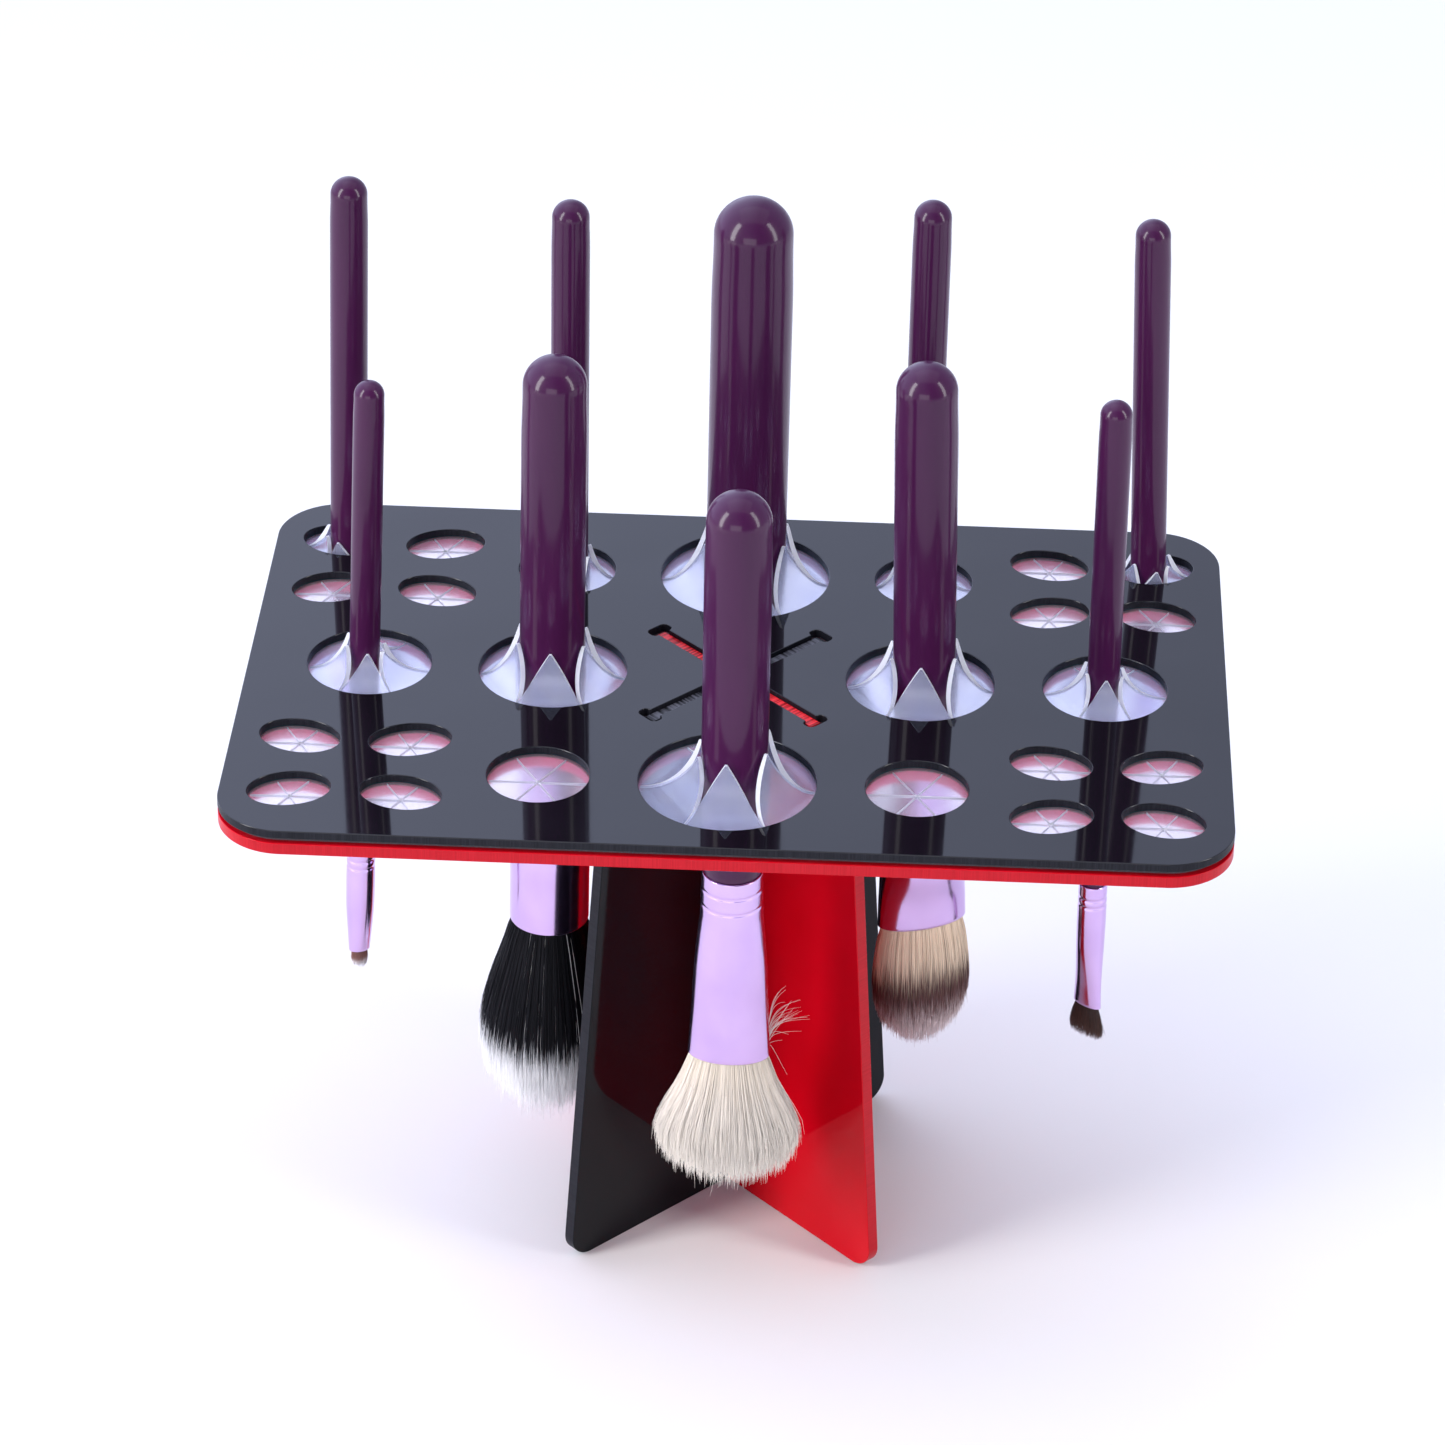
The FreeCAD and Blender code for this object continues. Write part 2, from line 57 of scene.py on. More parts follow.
# ---------------------------------------------------------------- sizes, as in the CAD
RED_BASE = level("red_plate", 0)
SILICONE_BASE = level("red_plate", 1)
BLACK_BASE = level("black_plate", 0)
DECK_TOP = level("black_plate", 1)
SILICONE_THICK = BLACK_BASE - SILICONE_BASE
DECK_LENGTH, DECK_WIDTH, DECK_CORNER = 220.0, 142.0, 15.0

PANEL_THICK = 3.0
FOOT_HALF, SHOULDER_HALF, TAB_HALF = 50.5, 39.0, 26.0
FOOT_RADIUS = 5.5
TAB_TOP = level("red_leg", 1)
LAP_HALF, LAP_LEVEL, LAP_CORNER = 1.53, 66.5, 0.2
SLOT_HALF = 1.55
RELIEF_HALF_LONG, RELIEF_HALF_WIDE = 2.85, 1.45

OVAL = (9.2, 6.6)
OVAL_TURN = 15.2
SLIT_HALF, SLIT_END_GAP = 0.04, 0.4
SILICONE_INSET = 1.5         # the sheet stops this far inside the plates' outline
FLAP_CLEARANCE = 0.3
FLAP_FLAT_SHARE = 0.55
SHARP_UNDER = 1.6            # a flap with less room than this turns up sharply

TUBE_WALL, FIT_GAP, TENON_LENGTH = 0.45, 0.03, 9.5
COLLAR_LENGTH = 11.0
CRIMP_HALF_WIDTH, CRIMP_DEPTH, CRIMP_SHOWN = 0.7, 0.35, 0.15

# A brush's axis passes shift mm to the right of its hole's middle at the deck's
# top face and leans lean degrees to the right.  top and rim are heights from
# that face.  A ferrule section is (below the rim, half width, half depth), a
# hair section (below the ferrule's mouth, half width, half depth), and turn
# swings the flat ones about the axis.
Brush = namedtuple("Brush", "hole shift lean turn handle_r neck_r top rim ferrule hair")
BRUSHES = {
    "blush": Brush(
        "front_centre", 1.5, 0.1, -2.0, 7.3, 6.5, 72.0, -22.8,
        [(0, 6.8, 6.8), (11, 7.0, 7.0), (24, 8.1, 6.8), (38, 8.7, 6.0), (49.2, 9.3, 5.5)],
        [(0, 8.8, 5.0), (8, 11.6, 6.6), (15, 15.2, 8.4), (21, 17.4, 9.6), (27, 16.6, 9.0),
         (32, 13.2, 7.0), (36, 7.0, 3.6)]),
    "stippling": Brush(
        "middle_inner_left", -0.3, 0.7, 0.0, 7.3, 6.6, 79.0, -25.0,
        [(0, 6.9, 6.9), (11, 7.2, 7.2), (22, 9.0, 9.0), (32, 9.15, 9.15), (41.8, 9.15, 9.15)],
        [(0, 8.65, 8.65), (8, 10.8, 10.8), (19, 14.1, 14.1), (31, 16.4, 16.4), (41, 15.0, 15.0),
         (48, 11.0, 11.0), (52.5, 5.0, 5.0)]),
    "foundation": Brush(
        "middle_inner_right", 0.8, -1.4, 20.0, 7.0, 6.4, 80.5, -22.0,
        [(0, 6.7, 6.7), (11, 7.0, 7.0), (24, 9.4, 8.6), (34, 10.3, 6.0), (42, 10.6, 4.9)],
        [(0, 10.1, 4.4), (8, 11.2, 5.7), (16, 11.8, 6.4), (23, 11.0, 6.0), (29, 8.2, 4.7),
         (33, 3.6, 2.2)]),
    "liner": Brush(
        "middle_outer_left", -1.2, 2.1, 29.0, 3.45, 2.95, 71.5, -49.0,
        [(0, 3.3, 3.3), (11, 3.35, 3.35), (18, 3.2, 3.2), (24, 2.85, 2.6), (29.5, 2.5, 1.7)],
        [(0, 2.0, 1.2), (2.6, 2.15, 1.25), (4.7, 1.5, 0.8)]),
    "smudge": Brush(
        "middle_outer_right", -0.5, -0.5, -40.0, 3.65, 3.0, 73.0, -52.0,
        [(0, 3.3, 3.3), (11, 3.35, 3.35), (18, 3.3, 3.1), (28, 3.5, 2.0), (34, 3.85, 1.6)],
        [(0, 3.35, 1.1), (3.5, 4.3, 1.4), (6.5, 5.0, 1.6), (8, 4.4, 1.25)]),
    "powder": Brush(
        "back_centre", 0.0, 0.3, 0.0, 9.2, 8.3, 96.6, -14.0,
        [(0, 8.7, 8.7), (11, 9.0, 9.0), (19, 10.9, 10.9), (27, 11.2, 11.2)],
        [(0, 10.7, 10.7), (8, 13.4, 13.0), (17, 16.6, 15.8), (24, 16.4, 15.4), (29, 13.0, 12.0),
         (32.5, 6.5, 6.0)]),
    "blending": Brush(
        "oval_back_left_1", 1.6, 1.3, 0.0, 4.3, 3.2, 94.0, -26.0,
        [(0, 3.5, 3.5), (11, 3.55, 3.55), (20, 3.5, 3.4), (28, 3.6, 3.2)],
        [(0, 3.1, 2.7), (6, 4.6, 4.2), (11, 6.2, 5.6), (15, 5.4, 4.8), (18, 2.6, 2.3)]),
    "shader": Brush(
        "back_left", 0.4, 0.3, 12.0, 4.35, 3.3, 94.7, -25.0,
        [(0, 3.6, 3.6), (11, 3.65, 3.65), (20, 4.1, 2.8), (27, 4.9, 1.9)],
        [(0, 4.4, 1.4), (5, 5.4, 2.0), (10, 5.6, 2.1), (13.5, 4.2, 1.4)]),
    "crease": Brush(
        "back_right", -1.2, 0.1, 0.0, 4.35, 3.3, 97.6, -26.0,
        [(0, 3.6, 3.6), (11, 3.65, 3.65), (20, 3.6, 3.6), (26, 3.5, 3.5)],
        [(0, 3.0, 3.0), (5, 4.2, 4.2), (9, 4.3, 4.3), (13, 2.9, 2.9), (15.5, 1.2, 1.2)]),
    "pencil": Brush(
        "oval_back_right_2", -1.4, -2.4, 0.0, 4.1, 3.0, 90.2, -28.0,
        [(0, 3.3, 3.3), (11, 3.35, 3.35), (20, 3.1, 3.1), (28, 2.6, 2.6)],
        [(0, 2.1, 2.1), (4, 2.5, 2.5), (8, 1.6, 1.6), (10, 0.6, 0.6)]),
}


def hole_table():
    """Middle, half length, half width and turn of every hole."""
    holes = {}
    for side, sx in (("left", -1), ("right", 1)):
        holes["middle_outer_" + side] = (sx * 82.7, 0.0, 14.0, 14.0, 0.0)
        holes["middle_inner_" + side] = (sx * 41.3, 0.0, 16.7, 16.7, 0.0)
    for row, sy in (("back", 1), ("front", -1)):
        holes[row + "_centre"] = (0.0, sy * 44.5, 19.5, 19.5, 0.0)
        for side, sx in (("left", -1), ("right", 1)):
            holes[row + "_" + side] = (sx * 41.3, sy * 44.5, 11.25, 11.25, 0.0)
            for number, (ox, oy) in enumerate(((-1, 1), (1, 1), (-1, -1), (1, -1)), 1):
                holes["oval_%s_%s_%d" % (row, side, number)] = (
                    sx * 82.6 + ox * 12.15, sy * 43.0 + oy * 10.75, *OVAL, ox * oy * OVAL_TURN)
    return holes


HOLES = hole_table()


# ---------------------------------------------------------------- materials
def node_of(tree, kind, **inputs):
    """A shader node with some of its inputs set."""
    node = tree.nodes.new(kind)
    for key, value in inputs.items():
        node.inputs[key.replace("_", " ")].default_value = value
    return node


def base_material(name, sockets):
    """A Principled material with its uniform values set on the shader itself."""
    mat = bpy.data.materials.new(name)
    mat.use_nodes = True
    tree = mat.node_tree
    shader = tree.nodes["Principled BSDF"]
    for key, value in sockets.items():
        shader.inputs[key].default_value = value
    return mat, tree, shader


def object_noise(tree, stretch, scale, detail=3.0, roughness=0.5):
    """Noise in the piece's own coordinates, stretched along its axes."""
    coords = tree.nodes.new("ShaderNodeTexCoord")
    mapping = tree.nodes.new("ShaderNodeMapping")
    mapping.inputs["Scale"].default_value = stretch
    noise = node_of(tree, "ShaderNodeTexNoise", Scale=scale, Detail=detail, Roughness=roughness)
    tree.links.new(coords.outputs["Object"], mapping.inputs["Vector"])
    tree.links.new(mapping.outputs["Vector"], noise.inputs["Vector"])
    return noise.outputs["Fac"]


def ramp(tree, source, stops):
    """A colour ramp on a value; stops are (position, colour)."""
    node = tree.nodes.new("ShaderNodeValToRGB")
    elements = node.color_ramp.elements
    while len(elements) < len(stops):
        elements.new(0.5)
    for element, (place, colour) in zip(elements, stops):
        element.position = place
        element.color = (*colour, 1)
    tree.links.new(source, node.inputs["Fac"])
    return node.outputs["Color"]


def bump(tree, shader, source, distance_mm, strength=1.0):
    node = node_of(tree, "ShaderNodeBump", Strength=strength, Distance=distance_mm * MM)
    tree.links.new(source, node.inputs["Height"])
    tree.links.new(node.outputs["Normal"], shader.inputs["Normal"])


def spread(tree, source, low, high):
    """Maps a 0 to 1 value onto low to high."""
    node = node_of(tree, "ShaderNodeMapRange", To_Min=low, To_Max=high)
    tree.links.new(source, node.inputs["Value"])
    return node.outputs["Result"]


def varied(tree, shader, source, dark, light):
    """The base colour wanders between two colours."""
    tree.links.new(ramp(tree, source, [(0.3, dark), (0.7, light)]), shader.inputs["Base Color"])


def acrylic(name, dark, light, gloss=0.5):
    """Polished face of cast acrylic: mirror gloss with faint handling marks."""
    mat, tree, shader = base_material(name, {"IOR": 1.49, "Specular IOR Level": gloss})
    varied(tree, shader, object_noise(tree, (1, 1, 1), 35, 4), dark, light)
    smear = object_noise(tree, (1, 2.4, 1), 90, 6, 0.65)
    tree.links.new(spread(tree, smear, 0.015, 0.075), shader.inputs["Roughness"])
    bump(tree, shader, object_noise(tree, (1, 1, 1), 45, 1), 0.006, 0.5)
    return mat


def cut_edge(name, dark, light, rough, pitch=4200, depth=0.03, gloss=0.3, sharp=0.2):
    """Laser-cut edge: fine ridges that run straight through the sheet. Their colour is painted shade and
    highlight: darker in the grooves, lighter on the crests.
    """
    mat, tree, shader = base_material(name, {"IOR": 1.49, "Specular IOR Level": gloss})
    ridges = object_noise(tree, (1, 1, 0.02), pitch, 2, 0.6)
    # painted shade in the ridges' grooves and painted highlight on their crests
    colour = ramp(tree, ridges, [(0.5 - sharp, dark), (0.5 + sharp, light)])
    tree.links.new(colour, shader.inputs["Base Color"])
    tree.links.new(spread(tree, ridges, rough - 0.12, rough + 0.12), shader.inputs["Roughness"])
    bump(tree, shader, ridges, depth, 0.8)
    return mat


def silicone_skin(name, dark, light, clear):
    """Frosted silicone: lets light and blurred colour through, with a dusty skin."""
    mat, tree, shader = base_material(name, {
        "IOR": 1.41, "Transmission Weight": clear, "Specular IOR Level": 0.5})
    cloud = object_noise(tree, (1, 1, 1), 140, 5, 0.6)
    varied(tree, shader, cloud, dark, light)
    tree.links.new(spread(tree, cloud, 0.16, 0.28), shader.inputs["Roughness"])
    bump(tree, shader, object_noise(tree, (1, 1, 1), 1500, 3, 0.7), 0.010, 0.3)
    return mat


def silicone_cut_lit():
    """Cut edge of silicone, whiter and duller than its skin: a painted highlight for the light that the
    slit edges catch.
    """
    mat, tree, shader = base_material("silicone_cut_lit", {
        "IOR": 1.41, "Transmission Weight": 0.35, "Specular IOR Level": 0.4})
    cloud = object_noise(tree, (1, 1, 0.2), 900, 3, 0.6)
    varied(tree, shader, cloud, (0.92, 0.92, 0.98), (0.98, 0.98, 1.0))
    tree.links.new(spread(tree, cloud, 0.45, 0.60), shader.inputs["Roughness"])
    return mat


def lacquer():
    """Deep plum lacquer under a clear glossy coat."""
    mat, tree, shader = base_material("plum_lacquer", {
        "Coat Weight": 0.48, "Coat Roughness": 0.12, "Coat IOR": 1.5, "IOR": 1.45,
        "Specular IOR Level": 0.12})
    cloud = object_noise(tree, (1, 1, 0.25), 60, 4)
    varied(tree, shader, cloud, (0.042, 0.0044, 0.037), (0.060, 0.0070, 0.051))
    grain = object_noise(tree, (6, 6, 0.12), 260, 3)
    tree.links.new(spread(tree, grain, 0.30, 0.46), shader.inputs["Roughness"])
    ripple = object_noise(tree, (1, 1, 0.35), 420, 3, 0.55)
    bump(tree, shader, ripple, 0.02, 0.5)
    tree.links.new(shader.inputs["Normal"].links[0].from_socket, shader.inputs["Coat Normal"])
    return mat


def tube_metal():
    """Lilac anodised tube with faint turning lines and soft smears."""
    mat, tree, shader = base_material("lilac_metal", {"Metallic": 1.0})
    lines = object_noise(tree, (0.04, 0.04, 1), 3800, 3, 0.6)
    smear = object_noise(tree, (1, 1, 0.6), 120, 4)
    varied(tree, shader, smear, (0.63, 0.44, 0.76), (0.70, 0.50, 0.82))
    tree.links.new(spread(tree, lines, 0.10, 0.22), shader.inputs["Roughness"])
    bump(tree, shader, lines, 0.006, 0.5)
    return mat


def hair_material(name, stops, scatter, low=0.86, pale_share=0.0, pale=(0.86, 0.85, 0.84), gloss=0.35):
    """Hair coloured along its length, each hair a little different.

    pale_share of the hairs are pale from root to tip."""
    mat, tree, shader = base_material(name, {"Roughness": 0.42, "Specular IOR Level": gloss})
    along = tree.nodes.new("ShaderNodeAttribute")
    along.attribute_name = "along"
    strand = tree.nodes.new("ShaderNodeAttribute")
    strand.attribute_name = "strand"
    offset = spread(tree, strand.outputs["Fac"], -scatter, scatter)
    place = tree.nodes.new("ShaderNodeMath")
    tree.links.new(along.outputs["Fac"], place.inputs[0])
    tree.links.new(offset, place.inputs[1])
    colour = ramp(tree, place.outputs["Value"], stops)
    hue = tree.nodes.new("ShaderNodeHueSaturation")
    mixed = node_of(tree, "ShaderNodeTexWhiteNoise")
    mixed.noise_dimensions = "1D"
    tree.links.new(strand.outputs["Fac"], mixed.inputs["W"])
    tree.links.new(spread(tree, mixed.outputs["Value"], low, 1.04), hue.inputs["Value"])
    tree.links.new(colour, hue.inputs["Color"])
    result = hue.outputs["Color"]
    if pale_share:
        chosen = tree.nodes.new("ShaderNodeMath")
        chosen.operation = "GREATER_THAN"
        chosen.inputs[1].default_value = 1 - pale_share
        tree.links.new(strand.outputs["Fac"], chosen.inputs[0])
        mix = tree.nodes.new("ShaderNodeMixRGB")
        mix.inputs["Color2"].default_value = (*pale, 1)
        tree.links.new(chosen.outputs["Value"], mix.inputs["Fac"])
        tree.links.new(result, mix.inputs["Color1"])
        result = mix.outputs["Color"]
    tree.links.new(result, shader.inputs["Base Color"])
    return mat


BLACK_FACE = acrylic("black_acrylic", (0.0035, 0.0035, 0.0050), (0.0060, 0.0060, 0.0080))
BLACK_PANEL = acrylic("black_acrylic_panel", (0.0035, 0.0035, 0.0050), (0.0060, 0.0060, 0.0080), 0.16)
BLACK_EDGE = cut_edge("black_acrylic_edge", (0.006, 0.006, 0.009), (0.019, 0.019, 0.025), 0.42, gloss=0.12)
# The tab ridges' colours run from near black to far lighter than the sheet: painted shade in the grooves,
# painted highlight on the crests.
BLACK_TAB = cut_edge("black_acrylic_tab", (0.002, 0.002, 0.003), (0.10, 0.10, 0.12), 0.35, 1100, 0.15,
                     sharp=0.07)
RED_FACE = acrylic("red_acrylic", (0.52, 0.0006, 0.006), (0.60, 0.0012, 0.010), 0.16)
RED_EDGE = cut_edge("red_acrylic_edge", (0.40, 0.002, 0.008), (0.52, 0.006, 0.016), 0.34, gloss=0.2)
# Hole walls: a brighter, pinker copy of the red edge, painted light standing in for the glow of light
# through the acrylic and silicone.
RED_WALL_LIT = cut_edge("red_acrylic_hole_lit", (0.60, 0.012, 0.085), (0.78, 0.030, 0.14), 0.34, gloss=0.2)
# The same painted shade and highlight on the red tab's ridges.
RED_TAB = cut_edge("red_acrylic_tab", (0.30, 0.002, 0.004), (0.90, 0.035, 0.045), 0.34, 1100, 0.15, 0.3,
                   sharp=0.07)
SILICONE = silicone_skin("silicone", (0.88, 0.84, 0.98), (0.95, 0.91, 1.0), 0.87)
# Flaps turned up round a brush: a darker, bluer copy of the silicone's colour, painted shade.
SILICONE_BENT_SHADED = silicone_skin("silicone_bent_shaded", (0.68, 0.72, 0.97), (0.80, 0.83, 1.0), 0.75)
SILICONE_CUT_LIT = silicone_cut_lit()
PLUM = lacquer()
METAL = tube_metal()
CREAM = [(0.0, (0.84, 0.73, 0.58)), (0.35, (0.90, 0.81, 0.70)), (1.0, (0.93, 0.86, 0.76))]
DUO = [(0.0, (0.003, 0.003, 0.005)), (0.62, (0.005, 0.005, 0.008)), (0.68, (0.60, 0.60, 0.62)),
       (0.73, (0.98, 0.97, 0.98))]
TAN = [(0.0, (0.88, 0.69, 0.49)), (0.40, (0.90, 0.72, 0.53)), (0.56, (0.085, 0.028, 0.024)),
       (0.72, (0.17, 0.075, 0.070)), (0.88, (0.78, 0.64, 0.64))]
BROWN = [(0.0, (0.032, 0.013, 0.008)), (0.6, (0.070, 0.028, 0.018)), (1.0, (0.13, 0.060, 0.042))]
SLANT = [(0.0, (0.26, 0.11, 0.085)), (0.45, (0.32, 0.15, 0.12)), (0.66, (0.78, 0.68, 0.67)),
         (1.0, (0.86, 0.80, 0.79))]
HAIRS = {
    "cream_hair": hair_material("cream_hair", CREAM, 0.12),
    "duo_fibre_hair": hair_material("duo_fibre_hair", DUO, 0.06, 0.9, 0.16, gloss=0.15),
    "tan_tipped_fibre": hair_material("tan_tipped_fibre", TAN, 0.10, 0.78),
    "brown_hair": hair_material("brown_hair", BROWN, 0.18, 0.5),
    "liner_hair": hair_material("liner_hair", SLANT, 0.12, 0.7),
}


# ---------------------------------------------------------------- meshes
def quads(rows, columns):
    """Faces between rows of vertices that each go once round."""
    faces = []
    for i in range(rows - 1):
        a, b = i * columns, (i + 1) * columns
        for j in range(columns):
            k = (j + 1) % columns
            faces.append((a + j, a + k, b + k, b + j))
    return faces


def piece(name, verts, faces, materials, body, node, place=None, normals=None, kinds=None,
          sharp=None, values=None):
    """Makes a mesh piece from vertices in mm, and has it stand for a CAD node."""
    mesh = bpy.data.meshes.new(name)
    counts = np.array([len(face) for face in faces])
    starts = np.concatenate([[0], np.cumsum(counts)[:-1]])
    mesh.vertices.add(len(verts))
    mesh.vertices.foreach_set("co", (np.asarray(verts, float) * MM).astype(np.float32).ravel())
    mesh.loops.add(int(counts.sum()))
    mesh.loops.foreach_set("vertex_index", np.concatenate(faces).astype(np.int32))
    mesh.polygons.add(len(faces))
    mesh.polygons.foreach_set("loop_start", starts.astype(np.int32))
    mesh.polygons.foreach_set("use_smooth", np.ones(len(faces), bool))
    mesh.update(calc_edges=True)
    for material in materials:
        mesh.materials.append(material)
    if kinds is not None:
        mesh.polygons.foreach_set("material_index", np.asarray(kinds, np.int32))
    for key, value in (values or {}).items():
        mesh.attributes.new(key, "FLOAT", "POINT").data.foreach_set("value", value.astype(np.float32))
    if normals is not None:
        mesh.normals_split_custom_set_from_vertices(normals)
    if sharp is not None:
        mesh.set_sharp_from_angle(angle=math.radians(sharp))
    obj = bpy.data.objects.new(name, mesh)
    bpy.context.scene.collection.objects.link(obj)
    if place is not None:
        obj.matrix_world = place
    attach(obj, body)
    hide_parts(node)
    return obj


# ---------------------------------------------------------------- flat sheets with bevelled edges
def rounded(corners):
    """Points and outward directions along a polygon of (x, y, radius), counterclockwise."""
    points, outward = [], []
    count = len(corners)
    for i in range(count):
        here = np.array(corners[i][:2])
        back = np.array(corners[i - 1][:2]) - here
        ahead = np.array(corners[(i + 1) % count][:2]) - here
        back, ahead = back / np.linalg.norm(back), ahead / np.linalg.norm(ahead)
        turn = back[1] * ahead[0] - back[0] * ahead[1]
        side = 1.0 if turn > 0 else -1.0
        half = math.acos(np.clip(back @ ahead, -1, 1)) / 2
        radius = corners[i][2]
        middle = here + (back + ahead) / np.linalg.norm(back + ahead) * radius / math.sin(half)
        start = here + back * radius / math.tan(half) - middle
        sweep = side * (math.pi - 2 * half)
        steps = max(3, int(abs(sweep) * math.sqrt(radius) * 7))
        for k in range(steps + 1):
            a = sweep * k / steps
            arm = np.array([start[0] * math.cos(a) - start[1] * math.sin(a),
                            start[0] * math.sin(a) + start[1] * math.cos(a)])
            points.append(middle + arm)
            outward.append(side * arm / radius)
    return np.array(points), np.array(outward)


def reach(hole, angle):
    """Distance from a hole's middle to its edge in a direction."""
    _, _, half_long, half_short, turn = hole
    a = angle - math.radians(turn)
    return 1.0 / np.hypot(np.cos(a) / half_long, np.sin(a) / half_short)


def hole_loop(hole, count=96, grow=0.0):
    """Points round a hole, counterclockwise, and directions away from the material."""
    angle = np.arange(count) * 2 * math.pi / count
    arm = np.c_[np.cos(angle), np.sin(angle)]
    points = np.array(hole[:2]) + arm * (reach(hole, angle) + grow)[:, None]
    along = np.roll(points, -1, 0) - np.roll(points, 1, 0)
    along /= np.linalg.norm(along, axis=1)[:, None]
    return points, np.c_[-along[:, 1], along[:, 0]]


def slot_loop():
    """The X-shaped slot for the leg tabs, with a rounded cross cut at each arm's end."""
    inner, outer = TAB_HALF - RELIEF_HALF_WIDE, TAB_HALF + RELIEF_HALF_WIDE
    arm = [(SLOT_HALF, -SLOT_HALF, 0.25), (inner, -SLOT_HALF, 0.25), (inner, -RELIEF_HALF_LONG, 1.0),
           (outer, -RELIEF_HALF_LONG, 1.3), (outer, RELIEF_HALF_LONG, 1.3),
           (inner, RELIEF_HALF_LONG, 1.0), (inner, SLOT_HALF, 0.25)]
    corners = []
    for quarter in range(4):
        a = math.radians(45 + 90 * quarter)
        corners += [(x * math.cos(a) - y * math.sin(a), x * math.sin(a) + y * math.cos(a), r)
                    for x, y, r in arm]
    points, outward = rounded(corners)
    return points, -outward


def deck_loops(inset=0.0):
    x, y, r = DECK_LENGTH / 2 - inset, DECK_WIDTH / 2 - inset, DECK_CORNER - inset
    return [rounded([(-x, -y, r), (x, -y, r), (x, y, r), (-x, y, r)]), slot_loop()]


def cap(loops, upward):
    """Triangles that fill a loop with holes, facing up or down."""
    flat = np.concatenate(loops)
    triangles = geometry.tessellate_polygon([[(*p, 0.0) for p in loop] for loop in loops])
    found = []
    for a, b, c in triangles:
        area = np.cross(flat[b] - flat[a], flat[c] - flat[a])
        if abs(area) > 1e-12:
            found.append((a, b, c) if (area > 0) == upward else (a, c, b))
    return found


BEVEL = 0.18                 # rounding of the acrylic's edges


def slab(loops, low, high, bevel, steps=3):
    """Sheet between two heights with rounded edges: vertices, faces, normals and face kinds.

    The kinds are 0 on the faces, 1 round the outline and 2 on the walls of the holes."""
    rings = []
    for k in range(steps + 1):
        a = math.pi / 2 * k / steps
        out, up = math.sin(a), math.cos(a)
        rings.append((bevel * (1 - out), high - bevel * (1 - up), out, up))
    rings += [(inset, low + high - z, out, -up) for inset, z, out, up in rings[::-1]]
    verts, normals, faces, kinds = [], [], [], []
    for inset, z, out, up in rings:
        for points, outward in loops:
            verts.append(np.c_[points - outward * inset, np.full(len(points), z)])
            normals.append(np.c_[outward * out, np.full(len(points), up)])
    per_ring = sum(len(points) for points, _ in loops)
    flat = [points - outward * bevel for points, outward in loops]
    faces += cap(flat, True)
    last = per_ring * (len(rings) - 1)
    faces += [tuple(last + i for i in f) for f in cap(flat, False)]
    kinds += [0] * len(faces)
    for r in range(len(rings) - 1):
        start = r * per_ring
        for number, (points, _) in enumerate(loops):
            n = len(points)
            for j in range(n):
                k = (j + 1) % n
                face = (start + j, start + per_ring + j, start + per_ring + k, start + k)
                faces.append(face if number == 0 else face[::-1])
                kinds.append((1 if number == 0 else 2) if r == steps else 0)
            start += n
    return np.concatenate(verts), faces, np.concatenate(normals), kinds


def make_plates():
    holes = [hole_loop(hole) for hole in HOLES.values()]
    for node, low, high, looks, slot in (
            ("black_plate", BLACK_BASE, DECK_TOP, [BLACK_FACE, BLACK_EDGE, BLACK_EDGE], "black_acrylic"),
            ("red_plate", RED_BASE, SILICONE_BASE, [RED_FACE, RED_EDGE, RED_WALL_LIT], "red_acrylic")):
        verts, faces, normals, kinds = slab(deck_loops() + holes, low, high, BEVEL)
        piece(node + "_shown", verts, faces, looks, "deck", node, normals=normals, kinds=kinds)


def lap(side, mouth_level):
    """Corners of a panel's cross-lap slot, walked from side to the other side of the middle."""
    walk = ((side, mouth_level), (side, LAP_LEVEL), (-side, LAP_LEVEL), (-side, mouth_level))
    return [(x, z, LAP_CORNER) for x, z in walk]


def make_legs():
    foot, shoulder = (FOOT_HALF, 0.0, FOOT_RADIUS), (SHOULDER_HALF, RED_BASE, 0.35)
    tab_side = [(TAB_HALF, RED_BASE, 0.3), (TAB_HALF, TAB_TOP, 0.3)]
    right_side = [foot, shoulder] + tab_side
    left_side = [(-x, z, r) for x, z, r in right_side[::-1]]
    black_outline = right_side + lap(LAP_HALF, TAB_TOP) + left_side
    red_outline = right_side + left_side + lap(-LAP_HALF, 0.0)
    for node, outline, degrees, looks, slot in (
            ("black_leg", black_outline, 45, [BLACK_PANEL, BLACK_EDGE, BLACK_TAB], "black_acrylic"),
            ("red_leg", red_outline, -45, [RED_FACE, RED_EDGE, RED_TAB], "red_acrylic")):
        half = PANEL_THICK / 2
        verts, faces, normals, kinds = slab([rounded(outline)], -half, half, BEVEL)
        kinds = [2 if kind == 1 and min(verts[i][1] for i in f) > TAB_TOP - 0.2 else kind
                 for f, kind in zip(faces, kinds)]
        place = Matrix.Rotation(math.radians(degrees), 4, "Z") @ Matrix.Rotation(math.pi / 2, 4, "X")
        piece(node + "_shown", verts, faces, looks, "stand", node,
              place=place, normals=normals, kinds=kinds)


# ---------------------------------------------------------------- silicone sheet
SECTOR_STEPS = 16            # steps across each of a hole's six flaps
FLAP_STEPS = 26              # steps along a flap
TIP_LEFT = 0.5               # flaps stop this far from the middle of the hole, in mm


